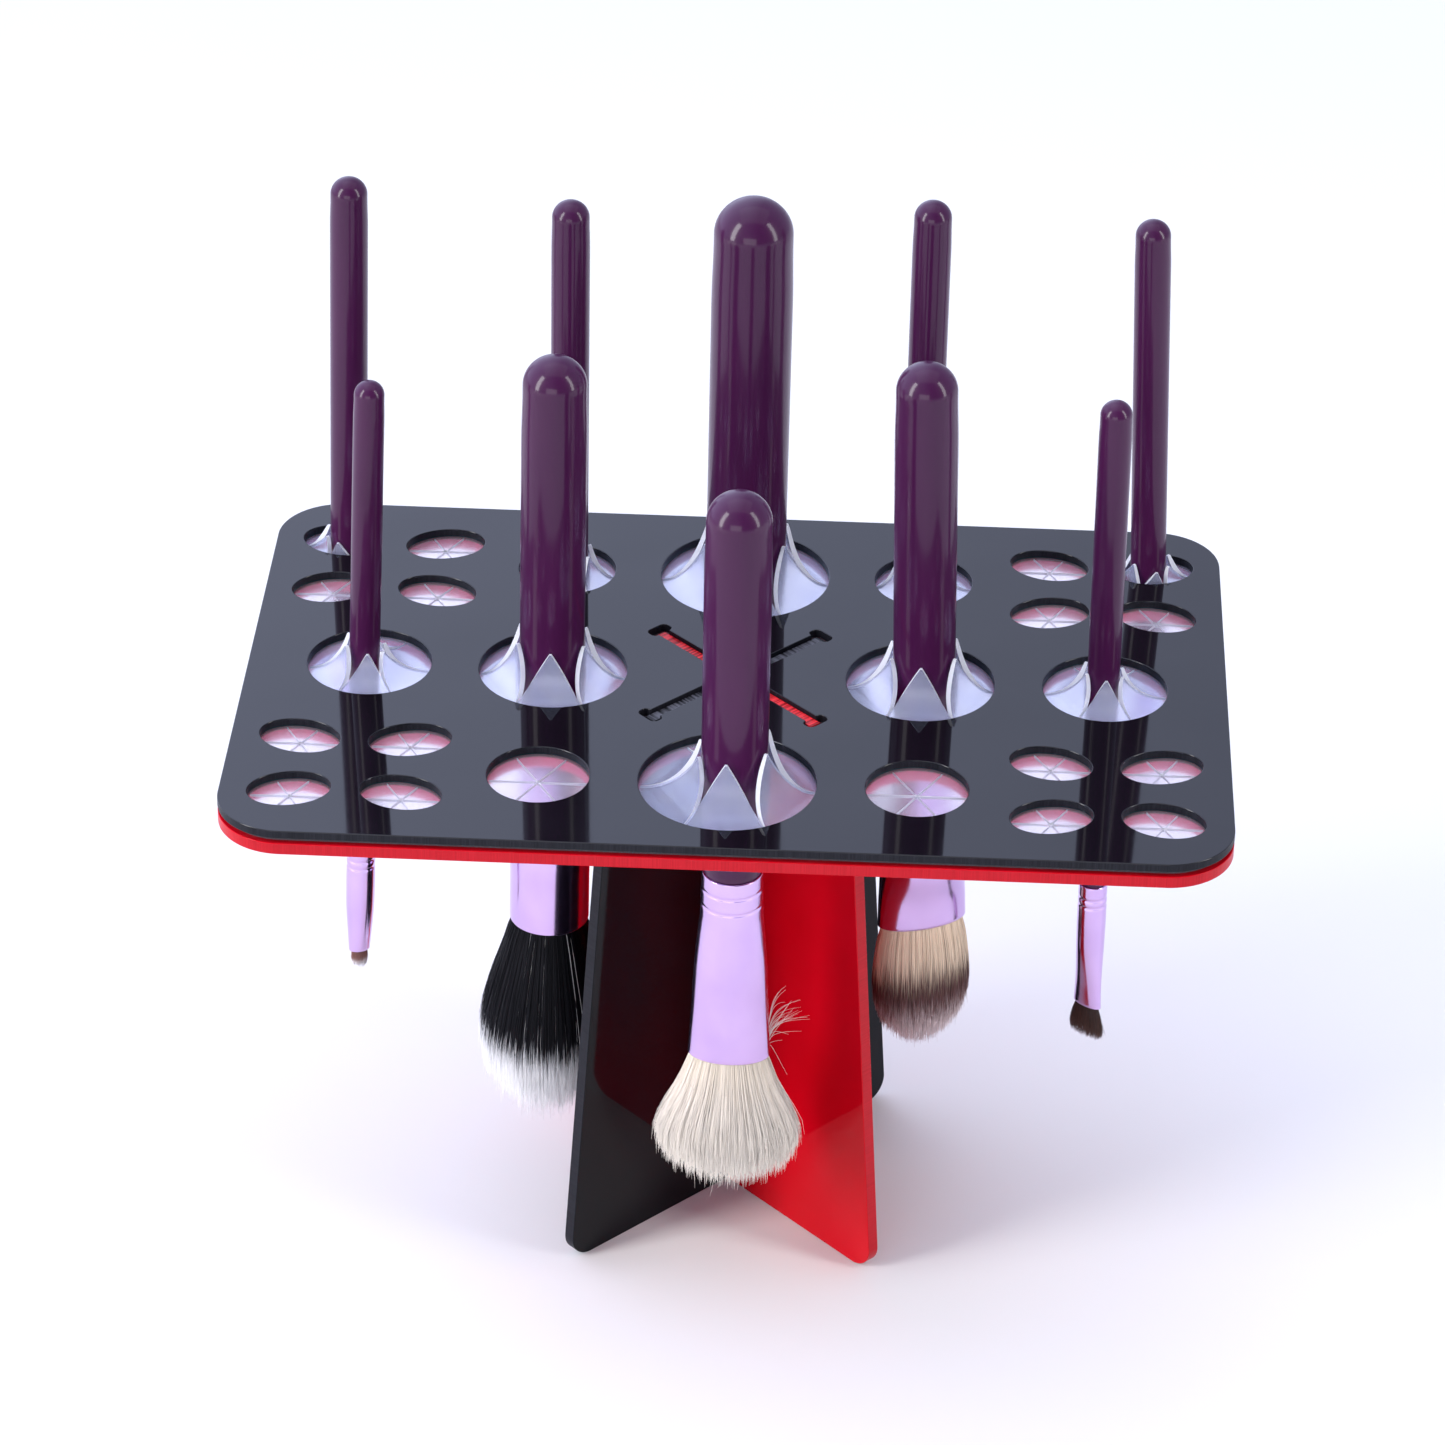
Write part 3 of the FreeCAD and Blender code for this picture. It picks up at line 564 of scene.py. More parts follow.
def curved_profile(length, gap):
    """Run, rise and direction along a flap that turns upright at distance gap."""
    t = np.linspace(0, 1, 80)[:, None]

    def curve(height):
        p = np.array([(0, 0), (FLAP_FLAT_SHARE * gap, 0), (gap, 0.35 * height), (gap, height)])
        s = 1 - t
        point = s ** 3 * p[0] + 3 * s * s * t * p[1] + 3 * s * t * t * p[2] + t ** 3 * p[3]
        steps = np.linalg.norm(np.diff(point, axis=0), axis=1)
        return point, np.concatenate([[0], np.cumsum(steps)])

    low, high = 0.0, length
    for _ in range(40):
        height = (low + high) / 2
        if curve(height)[1][-1] < length:
            low = height
        else:
            high = height
    return curve(height)


def sharp_profile(length, upright):
    """The same for a flap with little room, on one small arc that ends at upright."""
    radius = 0.55
    a = np.linspace(0, math.pi / 2, 12)
    bend = np.c_[upright - radius + radius * np.sin(a), radius - radius * np.cos(a)]
    run = (upright - radius) + radius * a
    rest = max(length - run[-1], 0.5)
    return np.vstack([bend, [upright, radius + rest]]), np.concatenate([run, [run[-1] + rest]])


def flap_shape(hole, corner, inward, brush):
    """Profile of one bent flap, and how thick it is when it is upright."""
    length = (np.array(hole[:2]) - corner) @ inward
    slope = math.tan(math.radians(brush.lean))
    near = min((np.array([hole[0] + brush.shift + slope * (z - DECK_TOP), hole[1]]) - corner) @ inward
               for z in (SILICONE_BASE, DECK_TOP + length))
    room = near - brush.handle_r - FLAP_CLEARANCE
    gap = room - SILICONE_THICK / 2
    if gap > SHARP_UNDER:
        return curved_profile(length, gap), SILICONE_THICK
    thin = 0.9
    return sharp_profile(length, room + 0.15 - thin / 2), thin


def hole_patch(hole, brush, rng):
    """Six flaps in a hole, flat or turned up round a handle: two skins and the slit walls."""
    x, y = hole[:2]
    count = 6 * SECTOR_STEPS
    middle = SILICONE_BASE + SILICONE_THICK / 2
    verts, faces, walls = [], [], []

    def add(points):
        verts.append(np.asarray(points, float))
        return sum(len(v) for v in verts) - len(points)

    angles = np.arange(count) * 2 * math.pi / count
    arms = np.c_[np.cos(angles), np.sin(angles)]
    edge = reach(hole, angles)
    ring_starts = []
    for grow in (1.0, -SLIT_END_GAP):
        for z in (BLACK_BASE, SILICONE_BASE):
            ring = np.array([x, y]) + arms * (edge + grow)[:, None]
            ring_starts.append(add(np.c_[ring, np.full(count, z)]))
    top_out, low_out, top_in, low_in = ring_starts
    for j in range(count):
        k = (j + 1) % count
        faces.append((top_out + j, top_out + k, top_in + k, top_in + j))
        faces.append((low_out + k, low_out + j, low_in + j, low_in + k))

    for sector in range(6):
        first = sector * SECTOR_STEPS
        columns = [(first + j) % count for j in range(SECTOR_STEPS + 1)]
        a0, a1 = math.radians(60 * sector), math.radians(60 * sector + 60)
        corner = np.array([x + reach(hole, a0) * math.cos(a0), y + reach(hole, a0) * math.sin(a0)])
        far = np.array([x + reach(hole, a1) * math.cos(a1), y + reach(hole, a1) * math.sin(a1)])
        across = (far - corner) / np.linalg.norm(far - corner)
        inward = np.array([-across[1], across[0]])
        length = (np.array([x, y]) - corner) @ inward
        lift = rng.uniform(-0.12, 0.16)
        if brush:
            (profile, run), thin = flap_shape(hole, corner, inward, brush)
            lean_out = rng.uniform(0.0, 0.10)
        share = np.linspace(0, 1, FLAP_STEPS + 1)[1:]
        top_rows, low_rows = [], []
        for m in share:
            left = (edge[columns] - SLIT_END_GAP) * (1 - m) + TIP_LEFT * m
            flat = np.array([x, y]) + arms[columns] * left[:, None]
            side = (flat - np.array([x, y])) @ across
            width = max(abs(side).max(), 1e-6)
            opened = min(m * 12, 1.0) * SLIT_HALF / math.cos(math.radians(30))
            side = side * max(1 - opened / width, 0.25)
            centre_side = (np.array([x, y]) - corner) @ across
            depth = (flat - corner) @ inward
            if brush:
                forward = np.interp(depth, run, profile[:, 0])
                forward = np.where(depth < run[0], depth, forward)
                rise = np.interp(depth, run, profile[:, 1])
                rise = np.where(depth < run[0], 0.0, rise)
                e = 0.02
                df = np.interp(depth + e, run, profile[:, 0]) - np.interp(depth - e, run, profile[:, 0])
                dr = np.interp(depth + e, run, profile[:, 1]) - np.interp(depth - e, run, profile[:, 1])
                inside = depth > run[0]
                df, dr = np.where(inside, df, 1.0), np.where(inside, dr, 0.0)
                size = np.hypot(df, dr)
                df, dr = df / size, dr / size
                forward = forward - lean_out * np.clip((rise - 4) / 8, 0, 1) ** 2 * 4
                thick = SILICONE_THICK + (thin - SILICONE_THICK) * dr
                thick = thick * (1 - 0.35 * m ** 6)
            else:
                forward, rise = depth, lift * np.clip(depth / length, 0, 1) ** 2
                df, dr = np.ones_like(depth), np.zeros_like(depth)
                thick = np.full_like(depth, SILICONE_THICK)
            base = corner + across * (centre_side + side)[:, None] + inward * forward[:, None]
            offset = np.c_[inward * -dr[:, None], df] * (thick / 2)[:, None]
            spot = np.c_[base, middle + rise]
            top_rows.append(add(spot + offset))
            low_rows.append(add(spot - offset))
        n = SECTOR_STEPS + 1
        top_lines = [[top_in + c for c in columns]] + [[s + j for j in range(n)] for s in top_rows]
        low_lines = [[low_in + c for c in columns]] + [[s + j for j in range(n)] for s in low_rows]
        for i in range(FLAP_STEPS):
            for j in range(SECTOR_STEPS):
                for near, far, p, q in ((top_lines[i], top_lines[i + 1], j, j + 1),
                                        (low_lines[i], low_lines[i + 1], j + 1, j)):
                    faces.append((near[p], near[q], far[q], far[p]))
            walls.append((top_lines[i][0], top_lines[i + 1][0], low_lines[i + 1][0], low_lines[i][0]))
            j = SECTOR_STEPS
            walls.append((top_lines[i + 1][j], top_lines[i][j], low_lines[i][j], low_lines[i + 1][j]))
        for j in range(SECTOR_STEPS):
            walls.append((top_lines[-1][j], top_lines[-1][j + 1], low_lines[-1][j + 1], low_lines[-1][j]))
    return np.concatenate(verts), faces, walls


def make_silicone():
    """One watertight sheet: flat between the holes, with a patch of flaps in each."""
    rng = np.random.default_rng(11)
    taken = {brush.hole: brush for brush in BRUSHES.values()}
    rims = deck_loops(SILICONE_INSET)
    patches = [hole_loop(hole, 6 * SECTOR_STEPS, 1.0)[0] for hole in HOLES.values()]
    loops = [points for points, _ in rims] + patches
    flat = np.concatenate(loops)
    total = len(flat)
    verts = [np.c_[flat, np.full(total, BLACK_BASE)], np.c_[flat, np.full(total, SILICONE_BASE)]]
    faces = cap(loops, True) + [tuple(total + i for i in f) for f in cap(loops, False)]
    start = 0
    for number, (points, _) in enumerate(rims):
        n = len(points)
        for j in range(n):
            k = (j + 1) % n
            face = (start + j, total + start + j, total + start + k, start + k)
            faces.append(face if number == 0 else face[::-1])
        start += n
    first = 2 * total
    kinds = [0] * len(faces)
    for name, hole in HOLES.items():
        more, skins, walls = hole_patch(hole, taken.get(name), rng)
        verts.append(more)
        faces += [tuple(first + i for i in f) for f in skins + walls]
        # Flap skins round a brush take the darker painted-shade copy; slit walls take the whiter
        # painted-highlight material.
        kinds += [2 if name in taken else 0] * len(skins) + [1] * len(walls)
        first += len(more)
    verts = np.concatenate(verts)
    _, keep, where = np.unique(np.round(verts, 4), axis=0, return_index=True, return_inverse=True)
    where = where.ravel()
    merged = [tuple(where[i] for i in f) for f in faces]
    piece("silicone_sheet_shown", verts[keep], merged, [SILICONE, SILICONE_CUT_LIT, SILICONE_BENT_SHADED], "deck",
          "silicone_sheet", kinds=kinds, sharp=38)


# ---------------------------------------------------------------- brushes
AROUND = 96


def place_of(brush):
    """Where a brush's own axis stands: z 0 at the deck's top face."""
    hole = HOLES[brush.hole]
    spot = ((hole[0] + brush.shift) * MM, hole[1] * MM, DECK_TOP * MM)
    return Matrix.Translation(spot) @ Matrix.Rotation(math.radians(brush.lean), 4, "Y")


def mouth_of(brush):
    """Height of the ferrule's mouth on the brush's own axis."""
    return brush.rim - brush.ferrule[-1][0]


def bezier(p0, p1, p2, p3, steps):
    t = np.linspace(0, 1, steps + 1)[:, None]
    s = 1 - t
    weights = np.hstack([s ** 3, 3 * s * s * t, 3 * s * t * t, t ** 3])
    return weights @ np.array([p0, p1, p2, p3])


def rings_mesh(rings, turn=0.0, closed_ring=False):
    """Closed skin over rings (z, half width, half depth), from the lowest up.

    Its ends are capped, or joined to each other where closed_ring is set."""
    a = np.arange(AROUND) * 2 * math.pi / AROUND
    c, s = math.cos(math.radians(turn)), math.sin(math.radians(turn))
    verts = []
    for z, w, d in rings:
        px, py = w * np.cos(a), d * np.sin(a)
        verts.append(np.c_[px * c - py * s, px * s + py * c, np.full(AROUND, z)])
    faces = quads(len(rings), AROUND)
    last = (len(rings) - 1) * AROUND
    if closed_ring:
        faces += [(last + j, last + (j + 1) % AROUND, (j + 1) % AROUND, j) for j in range(AROUND)]
    else:
        faces += [tuple(range(AROUND))[::-1], tuple(range(last, last + AROUND))]
    return np.concatenate(verts), faces


def handle_rings(brush):
    """Outline of the lacquered handle, from its tenon up to its dome."""
    r, neck, top, rim = brush.handle_r, brush.neck_r, brush.top, brush.rim
    tenon = brush.ferrule[0][1] - TUBE_WALL - CRIMP_DEPTH - FIT_GAP
    barrel = rim + 2.2 * r + 4
    end = 0.97 * r
    dome = 0.95 * end
    fall = top - dome - 2 * r
    round_off = 0.55
    foot = rim - TENON_LENGTH
    lines = [[(0.05, foot), (tenon - 0.2, foot), (tenon, foot + 0.2), (tenon, rim + 0.02),
              (neck - 0.25, rim + 0.02), (neck - 0.07, rim + 0.09), (neck, rim + 0.27)],
             bezier((neck, rim + 0.27), (neck, rim + 0.4 * (barrel - rim)),
                    (r, barrel - 0.4 * (barrel - rim)), (r, barrel), 20)[1:],
             [(r, barrel + (fall - barrel) * k / 12) for k in range(1, 13)],
             bezier((r, fall), (r, top - dome - r), (end, top - dome - r), (end, top - dome), 10)[1:],
             bezier((end, top - dome), (end, top - (1 - round_off) * dome), (round_off * end, top),
                    (0.05, top), 28)[1:]]
    return [(z, x, x) for line in lines for x, z in line]


def between(sections, below):
    """Half width and half depth at a distance, on a smooth line through the sections."""
    last = len(sections) - 1
    i = min(max([k for k in range(len(sections)) if sections[k][0] <= below] or [0]), last - 1)
    near, far = sections[i], sections[i + 1]
    before, after = sections[max(i - 1, 0)], sections[min(i + 2, last)]
    span = far[0] - near[0]
    t = (below - near[0]) / span
    sizes = []
    for k in (1, 2):
        start = (far[k] - before[k]) / (far[0] - before[0]) * span
        end = (after[k] - near[k]) / (after[0] - near[0]) * span
        sizes.append((2 * t ** 3 - 3 * t * t + 1) * near[k] + (t ** 3 - 2 * t * t + t) * start
                     + (3 * t * t - 2 * t ** 3) * far[k] + (t ** 3 - t * t) * end)
    return sizes


def ferrule_rings(brush):
    """Outside from the rim to the mouth, then the inside back up."""
    rim, sections = brush.rim, brush.ferrule
    top_r, low_r = sections[0][1], sections[1][1]
    crimps = (4.0, 8.0) if brush.handle_r > 5 else (3.6, 5.6)
    inner = top_r - TUBE_WALL - CRIMP_DEPTH
    lip = 0.3                   # the rolled rim's radius
    collar = [(0.12, inner), (0.03, inner + 0.08), (0.0, inner + 0.2)]
    for a in np.linspace(0, math.pi / 2, 6):
        collar.append((lip * (1 - math.cos(a)), top_r - lip + lip * math.sin(a)))
    rings = [(rim - below, radius, radius) for below, radius in collar]
    for below in np.arange(0.6, COLLAR_LENGTH - 0.05, 0.2):
        radius = top_r + (low_r - top_r) * below / COLLAR_LENGTH
        for crimp in crimps:
            off = (below - crimp) / CRIMP_HALF_WIDTH
            if abs(off) < 1:
                radius -= CRIMP_SHOWN * (1 - off * off) ** 2
        rings.append((rim - below, radius, radius))
    lower = sections[1:]
    mouth = sections[-1][0]
    for below in np.linspace(COLLAR_LENGTH, mouth - 0.25, 44):
        rings.append((rim - below, *between(lower, below)))
    w, d = between(lower, mouth)
    for a in np.linspace(0, math.pi, 9):
        rise, inset = math.sin(a), (1 - math.cos(a)) / 2
        rings.append((rim - mouth + 0.22 * (1 - rise), w - TUBE_WALL * inset, d - TUBE_WALL * inset))
    for below in np.linspace(mouth - 0.4, COLLAR_LENGTH + 0.4, 24):
        w, d = between(lower, below)
        rings.append((rim - below, w - TUBE_WALL, d - TUBE_WALL))
    rings.append((rim - COLLAR_LENGTH, inner, inner))
    return rings


def hair_paths(brush, count, rng, spec, band=(0.0, 1.0), start=-5.0, points=8, keep=1.0):
    """Points of count hairs, from start mm below the mouth to their tips.

    band is the part of the head's section that they fill, as shares of its
    area.  Also returns how far along the head each point is, how far it is
    from its own tip, and which way the head faces there."""
    mouth, sections = mouth_of(brush), brush.hair
    total = sections[-1][0]
    depth = np.linspace(0, total, 60)
    envelope = np.array([between(sections, s) for s in depth])
    widest = int(np.argmax(envelope[:, 0]))
    body = envelope.copy()
    drop = (depth[widest:] - depth[widest]) / max(total - depth[widest], 1e-6)
    body[widest:] = envelope[widest] * (1 - 0.04 * drop ** 2)[:, None]
    ratio = envelope[:, 0] / body[:, 0]

    rho = np.sqrt(rng.uniform(*band, count))
    phi = rng.uniform(0, 2 * math.pi, count)
    unit = np.c_[rho * np.cos(phi), rho * np.sin(phi)]
    ends = np.interp(-rho, -ratio[widest:], depth[widest:])
    blunt = np.clip(1 - (rho / max(ratio[-1], 1e-6)) ** 2, 0, 1)
    ends = ends + spec["crown"] * blunt
    ends = ends * (1 + rng.normal(0, spec["ragged"], count)) * keep * spec.get("length", 1.0)
    if spec.get("slant"):
        ends = ends * (1 + spec["slant"] * unit[:, 0])

    centres = rng.normal(0, 0.55, (spec["clumps"], 2))
    nearest = np.argmin(((unit[:, None] - centres[None]) ** 2).sum(2), 1)
    pull = (centres[nearest] - unit) * spec["pull"]

    t = np.linspace(0, 1, points)[None, :]
    s = start + (ends[:, None] - start) * t
    out = np.clip(s, 0, None) / total
    wide = np.interp(np.clip(s, 0, total), depth, body[:, 0])
    deep = np.interp(np.clip(s, 0, total), depth, body[:, 1])
    squeeze = (0.94 + 0.06 * np.clip(s / 3, 0, 1)) * (1 - spec.get("narrow", 0.0) * out)
    cx = unit[:, :1] + pull[:, :1] * out ** 2
    cy = unit[:, 1:] + pull[:, 1:] * out ** 2
    wave = spec["wave"]
    phase = rng.uniform(0, 2 * math.pi, (count, 4))
    turns = rng.uniform(0.6, 1.5, (count, 1))
    grow = out ** 1.3
    px = wide * cx * squeeze + wave * grow * np.sin(2 * math.pi * turns * out + phase[:, :1])
    py = deep * cy * squeeze + wave * grow * np.sin(2 * math.pi * turns * out + phase[:, 1:2])
    loose = np.where(rng.uniform(0, 1, count) < 0.05, 3.0, 1.0)[:, None]
    bend = rng.normal(0, spec["bend"], (count, 2)) * loose
    px += bend[:, :1] * out ** 2
    py += bend[:, 1:] * out ** 2
    facing = np.stack([cx / wide, cy / deep, -0.5 * out ** 4 / deep], 2)
    facing /= np.linalg.norm(facing, axis=2)[:, :, None] + 1e-9
    return np.stack([px, py, mouth - s], 2), out, (ends[:, None] - s) / total, facing


def tubes(paths, facing, along, strand, radius, rng):
    """Thin three-sided tubes on the paths, each closed at root and tip.

    Their normals lean towards the way the head faces, so that close hairs
    shade as one soft surface."""
    count, points = paths.shape[:2]
    t = np.linspace(0, 1, points)
    size = radius * (1 - 0.72 * t ** 2.2)
    spin = rng.uniform(0, 2 * math.pi, count)
    side = spin[:, None] + np.arange(3)[None, :] * 2 * math.pi / 3
    ahead = np.gradient(paths, axis=1)
    across = np.cross(ahead, (0.0, 1.0, 0.0))
    across /= np.linalg.norm(across, axis=2)[:, :, None]
    up = np.cross(across, ahead)
    up /= np.linalg.norm(up, axis=2)[:, :, None]
    ring = (np.cos(side)[:, None, :, None] * across[:, :, None, :]
            + np.sin(side)[:, None, :, None] * up[:, :, None, :])
    verts = paths[:, :, None, :] + ring * size[None, :, None, None]
    normals = TUBE_SHARE * ring + facing[:, :, None, :]
    per = points * 3
    base = np.arange(count)[:, None] * per
    i = np.arange(points - 1)[:, None] * 3
    j = np.arange(3)[None, :]
    k = (j + 1) % 3
    a = (i + j).ravel()[None, :] + base
    b = (i + k).ravel()[None, :] + base
    faces = np.concatenate([
        np.stack([a, a + 3, b], 2).reshape(-1, 3),
        np.stack([b, a + 3, b + 3], 2).reshape(-1, 3),
        base + np.array([[0, 1, 2]]),
        base + per - 3 + np.array([[0, 2, 1]])])
    value = np.repeat(along[:, :, None], 3, 2)
    kind = np.broadcast_to(strand[:, None, None], value.shape)
    return verts.reshape(-1, 3), faces, normals.reshape(-1, 3), value.ravel(), kind.ravel()


def core_mesh(brush, fill, reach_share):
    """Solid heart of a head, so that no light shows between the hairs."""
    mouth, sections = mouth_of(brush), brush.hair
    total = sections[-1][0] * reach_share
    w, d = between(sections, 0)
    rings = [(mouth + 4.5, 0.05, 0.05), (mouth + 4.5, w * fill, d * fill)]
    for t in np.linspace(0, 1, 26):
        w, d = between(sections, total * t)
        shrink = fill * math.sqrt(max(1 - t ** 6, 0.0)) + 0.003
        rings.append((mouth - total * t, w * shrink, d * shrink))
    verts, faces = rings_mesh(rings[::-1])
    triangles = []
    for face in faces:
        triangles += [(face[0], face[i], face[i + 1]) for i in range(1, len(face) - 1)]
    along = np.clip(mouth - verts[:, 2], 0, None) / sections[-1][0]
    return verts, np.array(triangles), verts * (1, 1, 0), along, np.full(len(verts), 0.05)


TUBE_SHARE = 0.55            # how much a hair's own roundness shows in its shading
OUTER_BAND, INNER_BAND = (0.60, 1.0), (0.0, 0.60)
INNER_START = 0.60           # inner hairs leave the solid heart at this share of the head
# how much of a hair's colour is placed from its own tip, and not from the head's
TIP_SHARES = {"duo_fibre_hair": 0.30, "tan_tipped_fibre": 0.25}

# outer and inner are counts of hairs; radius, wave and bend are in mm; ragged,
# pull and narrow are shares, and crown is how far the middle stands out, in mm
HAIR_SPECS = {
    "blush": dict(slot="cream_hair", outer=3250, inner=2100, radius=0.085, points=8, ragged=0.045,
                  crown=0.0, length=0.915, clumps=130, pull=0.15, wave=0.42, bend=0.65, narrow=0.06),
    "stippling": dict(slot="duo_fibre_hair", outer=3300, inner=1900, radius=0.085, points=8, ragged=0.040,
                      crown=0.5, length=0.96, clumps=80, pull=0.10, wave=0.35, bend=0.5),
    "foundation": dict(slot="tan_tipped_fibre", outer=2900, inner=1700, radius=0.075, points=8,
                       ragged=0.018, crown=0.8, clumps=60, pull=0.08, wave=0.15, bend=0.25),
    "powder": dict(slot="duo_fibre_hair", outer=2600, inner=1500, radius=0.095, points=8, ragged=0.030,
                   crown=1.0, clumps=70, pull=0.12, wave=0.30, bend=0.4),
    "liner": dict(slot="brown_hair", look="liner_hair", outer=420, inner=120, radius=0.040, points=6,
                  ragged=0.03, crown=0.3, clumps=12, pull=0.08, wave=0.03, bend=0.05, slant=0.16),
    "smudge": dict(slot="brown_hair", outer=1100, inner=400, radius=0.050, points=7, ragged=0.035,
                   crown=0.2, clumps=26, pull=0.16, wave=0.10, bend=0.16),
    "blending": dict(slot="cream_hair", outer=1400, inner=700, radius=0.060, points=8, ragged=0.025,
                     crown=0.5, clumps=30, pull=0.16, wave=0.20, bend=0.20),
    "shader": dict(slot="tan_tipped_fibre", outer=1100, inner=500, radius=0.055, points=7, ragged=0.02,
                   crown=0.3, clumps=24, pull=0.10, wave=0.08, bend=0.10),
    "crease": dict(slot="cream_hair", outer=1100, inner=500, radius=0.055, points=7, ragged=0.02, crown=0.3,
                   clumps=24, pull=0.12, wave=0.12, bend=0.12),
    "pencil": dict(slot="brown_hair", outer=600, inner=250, radius=0.045, points=6, ragged=0.02, crown=0.2,
                   clumps=14, pull=0.08, wave=0.04, bend=0.05),
}


def stray_hairs(mouth, rng):
    """Fine hairs that have worked loose behind the right of the ferrule's mouth, and curl out."""
    count, points = 24, 12
    climb = rng.uniform(0.0, 13.0, count)
    length = rng.uniform(3.5, 12.0, count)
    angle = rng.uniform(-0.1, 1.25, count)
    depth = rng.uniform(3.6, 5.0, count)
    droops = rng.uniform(0, 1, count) < 0.25
    climb = np.where(droops, 1.5, climb)
    angle = np.where(droops, rng.uniform(-1.5, -0.9, count), angle)
    paths = []
    for rise, run, a, y in zip(climb, length, angle, depth):
        root = (7.0, 0.9 * y, mouth - 3)
        tip = (8.8 + run * math.cos(a), 0.6 * y, mouth + rise + run * math.sin(a))
        paths.append(bezier(root, (9.4, y, mouth + 0.6 * rise), (8.2, y, mouth + rise), tip, points - 1))
    facing = np.broadcast_to((0.0, -1.0, 0.0), (count, points, 3))
    return np.array(paths), np.full((count, points), 0.9), facing


def make_hair(name, brush, seed):
    spec = HAIR_SPECS[name]
    rng = np.random.default_rng(seed)
    total = brush.hair[-1][0]
    tip_share = TIP_SHARES.get(spec["slot"], 0.0)
    parts = []

    def add(paths, out, from_tip, facing, radius, strand):
        along = (1 - tip_share) * out + tip_share * (1 - from_tip)
        parts.append(tubes(paths, facing, along, strand, radius, rng))

    outer = dict(band=OUTER_BAND, points=spec["points"])
    inner = dict(band=INNER_BAND, points=4, start=INNER_START * total)
    if spec["slot"] == "duo_fibre_hair":
        dark = int(spec["outer"] * 0.52)
        paths, out, _, facing = hair_paths(brush, dark, rng, spec, keep=0.77, **outer)
        parts.append(tubes(paths, facing, out * 0.5, rng.uniform(0, 0.83, dark), spec["radius"], rng))
        pale = spec["outer"] - dark
        few = rng.uniform(0, 1, pale) < 0.045
        add(*hair_paths(brush, pale, rng, spec, **outer), spec["radius"],
            np.where(few, rng.uniform(0.86, 1.0, pale), rng.uniform(0, 0.83, pale)))
        add(*hair_paths(brush, spec["inner"], rng, spec, **inner), spec["radius"],
            rng.uniform(0, 0.83, spec["inner"]))
    else:
        for count, layer in ((spec["outer"], outer), (spec["inner"], inner)):
            add(*hair_paths(brush, count, rng, spec, **layer), spec["radius"], rng.uniform(0, 1, count))
    if name == "blush":
        paths, along, facing = stray_hairs(mouth_of(brush), rng)
        parts.append(tubes(paths, facing, along, rng.uniform(0, 1, len(paths)), 0.065, rng))
    parts.append(core_mesh(brush, 0.80, 0.84 * spec.get("length", 1.0)))
    first, faces = 0, []
    for part in parts:
        faces.append(part[1] + first)
        first += len(part[0])
    verts, normals = (np.concatenate([part[i] for part in parts]) for i in (0, 2))
    normals = normals / (np.linalg.norm(normals, axis=1)[:, None] + 1e-9)
    c, s = math.cos(math.radians(brush.turn)), math.sin(math.radians(brush.turn))
    turn = np.array([[c, s, 0], [-s, c, 0], [0, 0, 1]])
    look = HAIRS[spec.get("look", spec["slot"])]
    values = {key: np.concatenate([part[i] for part in parts]) for i, key in ((3, "along"), (4, "strand"))}
    piece(name + "_bristles_shown", verts @ turn, np.concatenate(faces), [look], name + "_brush",
          name + "_bristles", place=place_of(brush), normals=normals @ turn, values=values)


def make_brushes():
    for number, (name, brush) in enumerate(BRUSHES.items()):
        body, place = name + "_brush", place_of(brush)
        verts, faces = rings_mesh(handle_rings(brush))
        piece(name + "_handle_shown", verts, faces, [PLUM], body, name + "_handle",
              place=place, sharp=40)
        verts, faces = rings_mesh(ferrule_rings(brush)[::-1], brush.turn, closed_ring=True)
        piece(name + "_ferrule_shown", verts, faces, [METAL], body, name + "_ferrule",
              place=place, sharp=50)
        make_hair(name, brush, 100 + number)


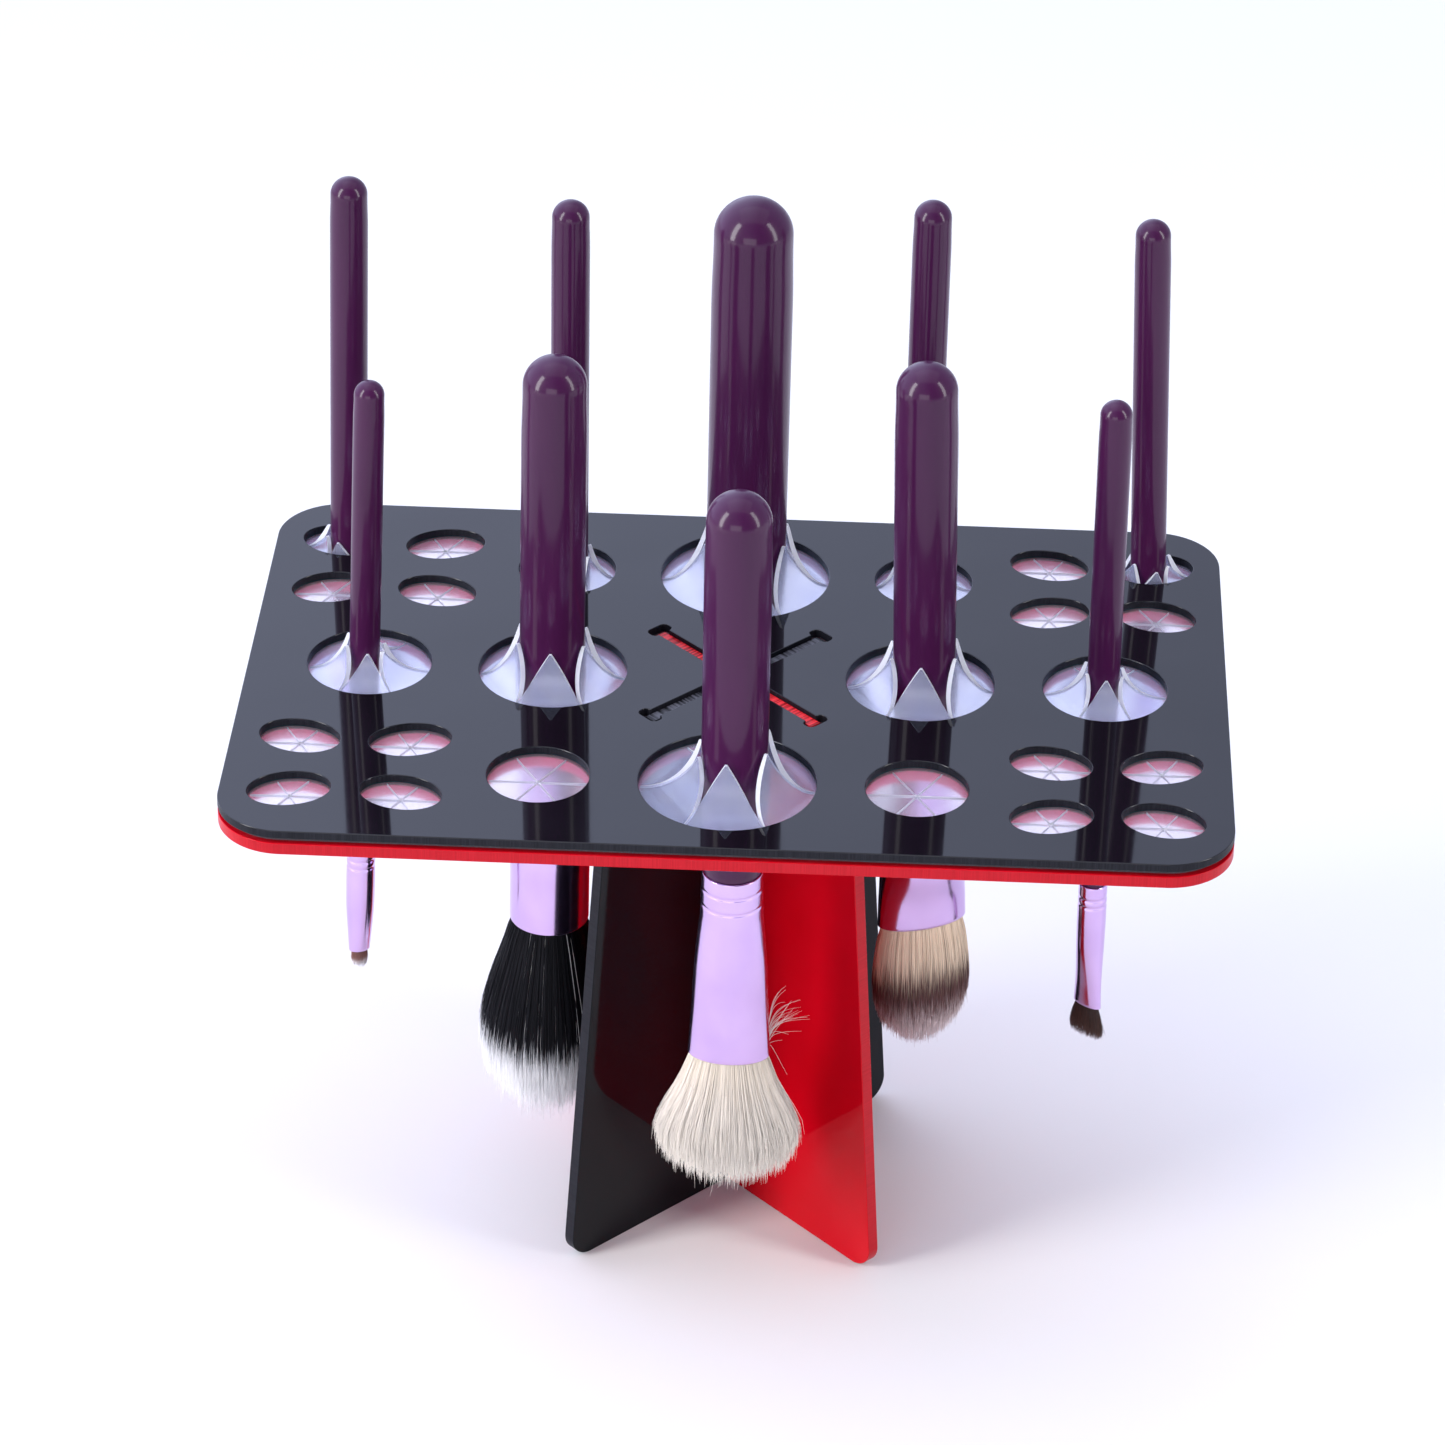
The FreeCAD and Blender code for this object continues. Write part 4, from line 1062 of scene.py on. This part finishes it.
# ---------------------------------------------------------------- studio
def make_studio():
    """Pale floor, four softboxes, and a sky that is darker in front and on the right."""
    scene = bpy.context.scene
    scene.view_settings.view_transform = "Standard"
    mat, tree, shader = base_material("floor_paper", {"Roughness": 0.9, "Specular IOR Level": 0.0})
    varied(tree, shader, object_noise(tree, (1, 1, 1), 3, 2), (0.82, 0.81, 0.79), (0.83, 0.82, 0.80))
    mesh = bpy.data.meshes.new("floor")
    size = 6.0
    corners = [(x * size, y * size, 0) for x, y in ((-1, -1), (1, -1), (1, 1), (-1, 1))]
    mesh.from_pydata(corners, [], [(0, 1, 2, 3)])
    mesh.materials.append(mat)
    floor = bpy.data.objects.new("floor", mesh)
    floor.location.z = -0.0001
    scene.collection.objects.link(floor)

    world = bpy.data.worlds.new("studio")
    scene.world = world
    world.use_nodes = True
    tree = world.node_tree
    back = tree.nodes["Background"]
    coords = tree.nodes.new("ShaderNodeTexCoord")
    parts = tree.nodes.new("ShaderNodeSeparateXYZ")
    tree.links.new(coords.outputs["Generated"], parts.inputs["Vector"])
    fades = []
    for axis, near, far, low, high in (("Y", -0.55, 0.35, 0.35, 1.15), ("X", -0.22, 0.22, 1.62, 0.60)):
        fade = node_of(tree, "ShaderNodeMapRange", From_Min=near, From_Max=far, To_Min=low, To_Max=high)
        tree.links.new(parts.outputs[axis], fade.inputs["Value"])
        fades.append(fade.outputs["Result"])
    both = tree.nodes.new("ShaderNodeMath")
    both.operation = "MULTIPLY"
    tree.links.new(fades[0], both.inputs[0])
    tree.links.new(fades[1], both.inputs[1])
    back.inputs["Color"].default_value = (0.85, 0.93, 1.26, 1)
    tree.links.new(both.outputs["Value"], back.inputs["Strength"])

    def softbox(name, spot, size_x, size_y, radiance):
        light = bpy.data.lights.new(name, "AREA")
        light.shape = "RECTANGLE"
        light.size, light.size_y = size_x, size_y
        light.energy = radiance * math.pi * size_x * size_y
        obj = bpy.data.objects.new(name, light)
        scene.collection.objects.link(obj)
        aim = np.array((0.0, 0.0, 0.12)) - np.array(spot)
        obj.location = spot
        obj.rotation_mode = "QUATERNION"
        obj.rotation_quaternion = Vector(aim).to_track_quat("-Z", "Y")

    softbox("left_softbox", (-1.30, -0.70, 0.80), 0.40, 1.5, 12.0)
    softbox("right_softbox", (1.30, -0.50, 0.80), 0.30, 1.5, 8.3)
    softbox("front_softbox", (-0.30, -1.9, 0.42), 1.3, 0.7, 2.3)
    softbox("top_softbox", (0.0, 0.1, 1.9), 2.2, 1.8, 0.5)


CAMERA_SPOT = (37.20, -1027.91, 629.51)    # mm, above the deck's top face
CAMERA_HEADING, CAMERA_TILT, CAMERA_ROLL = 2.24, 31.98, 0.94
CAMERA_LENS = 133.71


def make_camera():
    """Camera in front of the rack, looking down on the deck."""
    data = bpy.data.cameras.new("camera")
    data.sensor_width = 36.0
    data.lens = CAMERA_LENS
    data.clip_end = 20.0
    camera = bpy.data.objects.new("camera", data)
    bpy.context.scene.collection.objects.link(camera)
    x, y, z = CAMERA_SPOT
    camera.matrix_world = (
        Matrix.Translation((x * MM, y * MM, (z + DECK_TOP) * MM))
        @ Matrix.Rotation(math.radians(CAMERA_HEADING), 4, "Z")
        @ Matrix.Rotation(math.radians(90 - CAMERA_TILT), 4, "X")
        @ Matrix.Rotation(math.radians(CAMERA_ROLL), 4, "Z"))
    bpy.context.scene.camera = camera


make_plates()
make_legs()
make_silicone()
make_brushes()
make_studio()
make_camera()
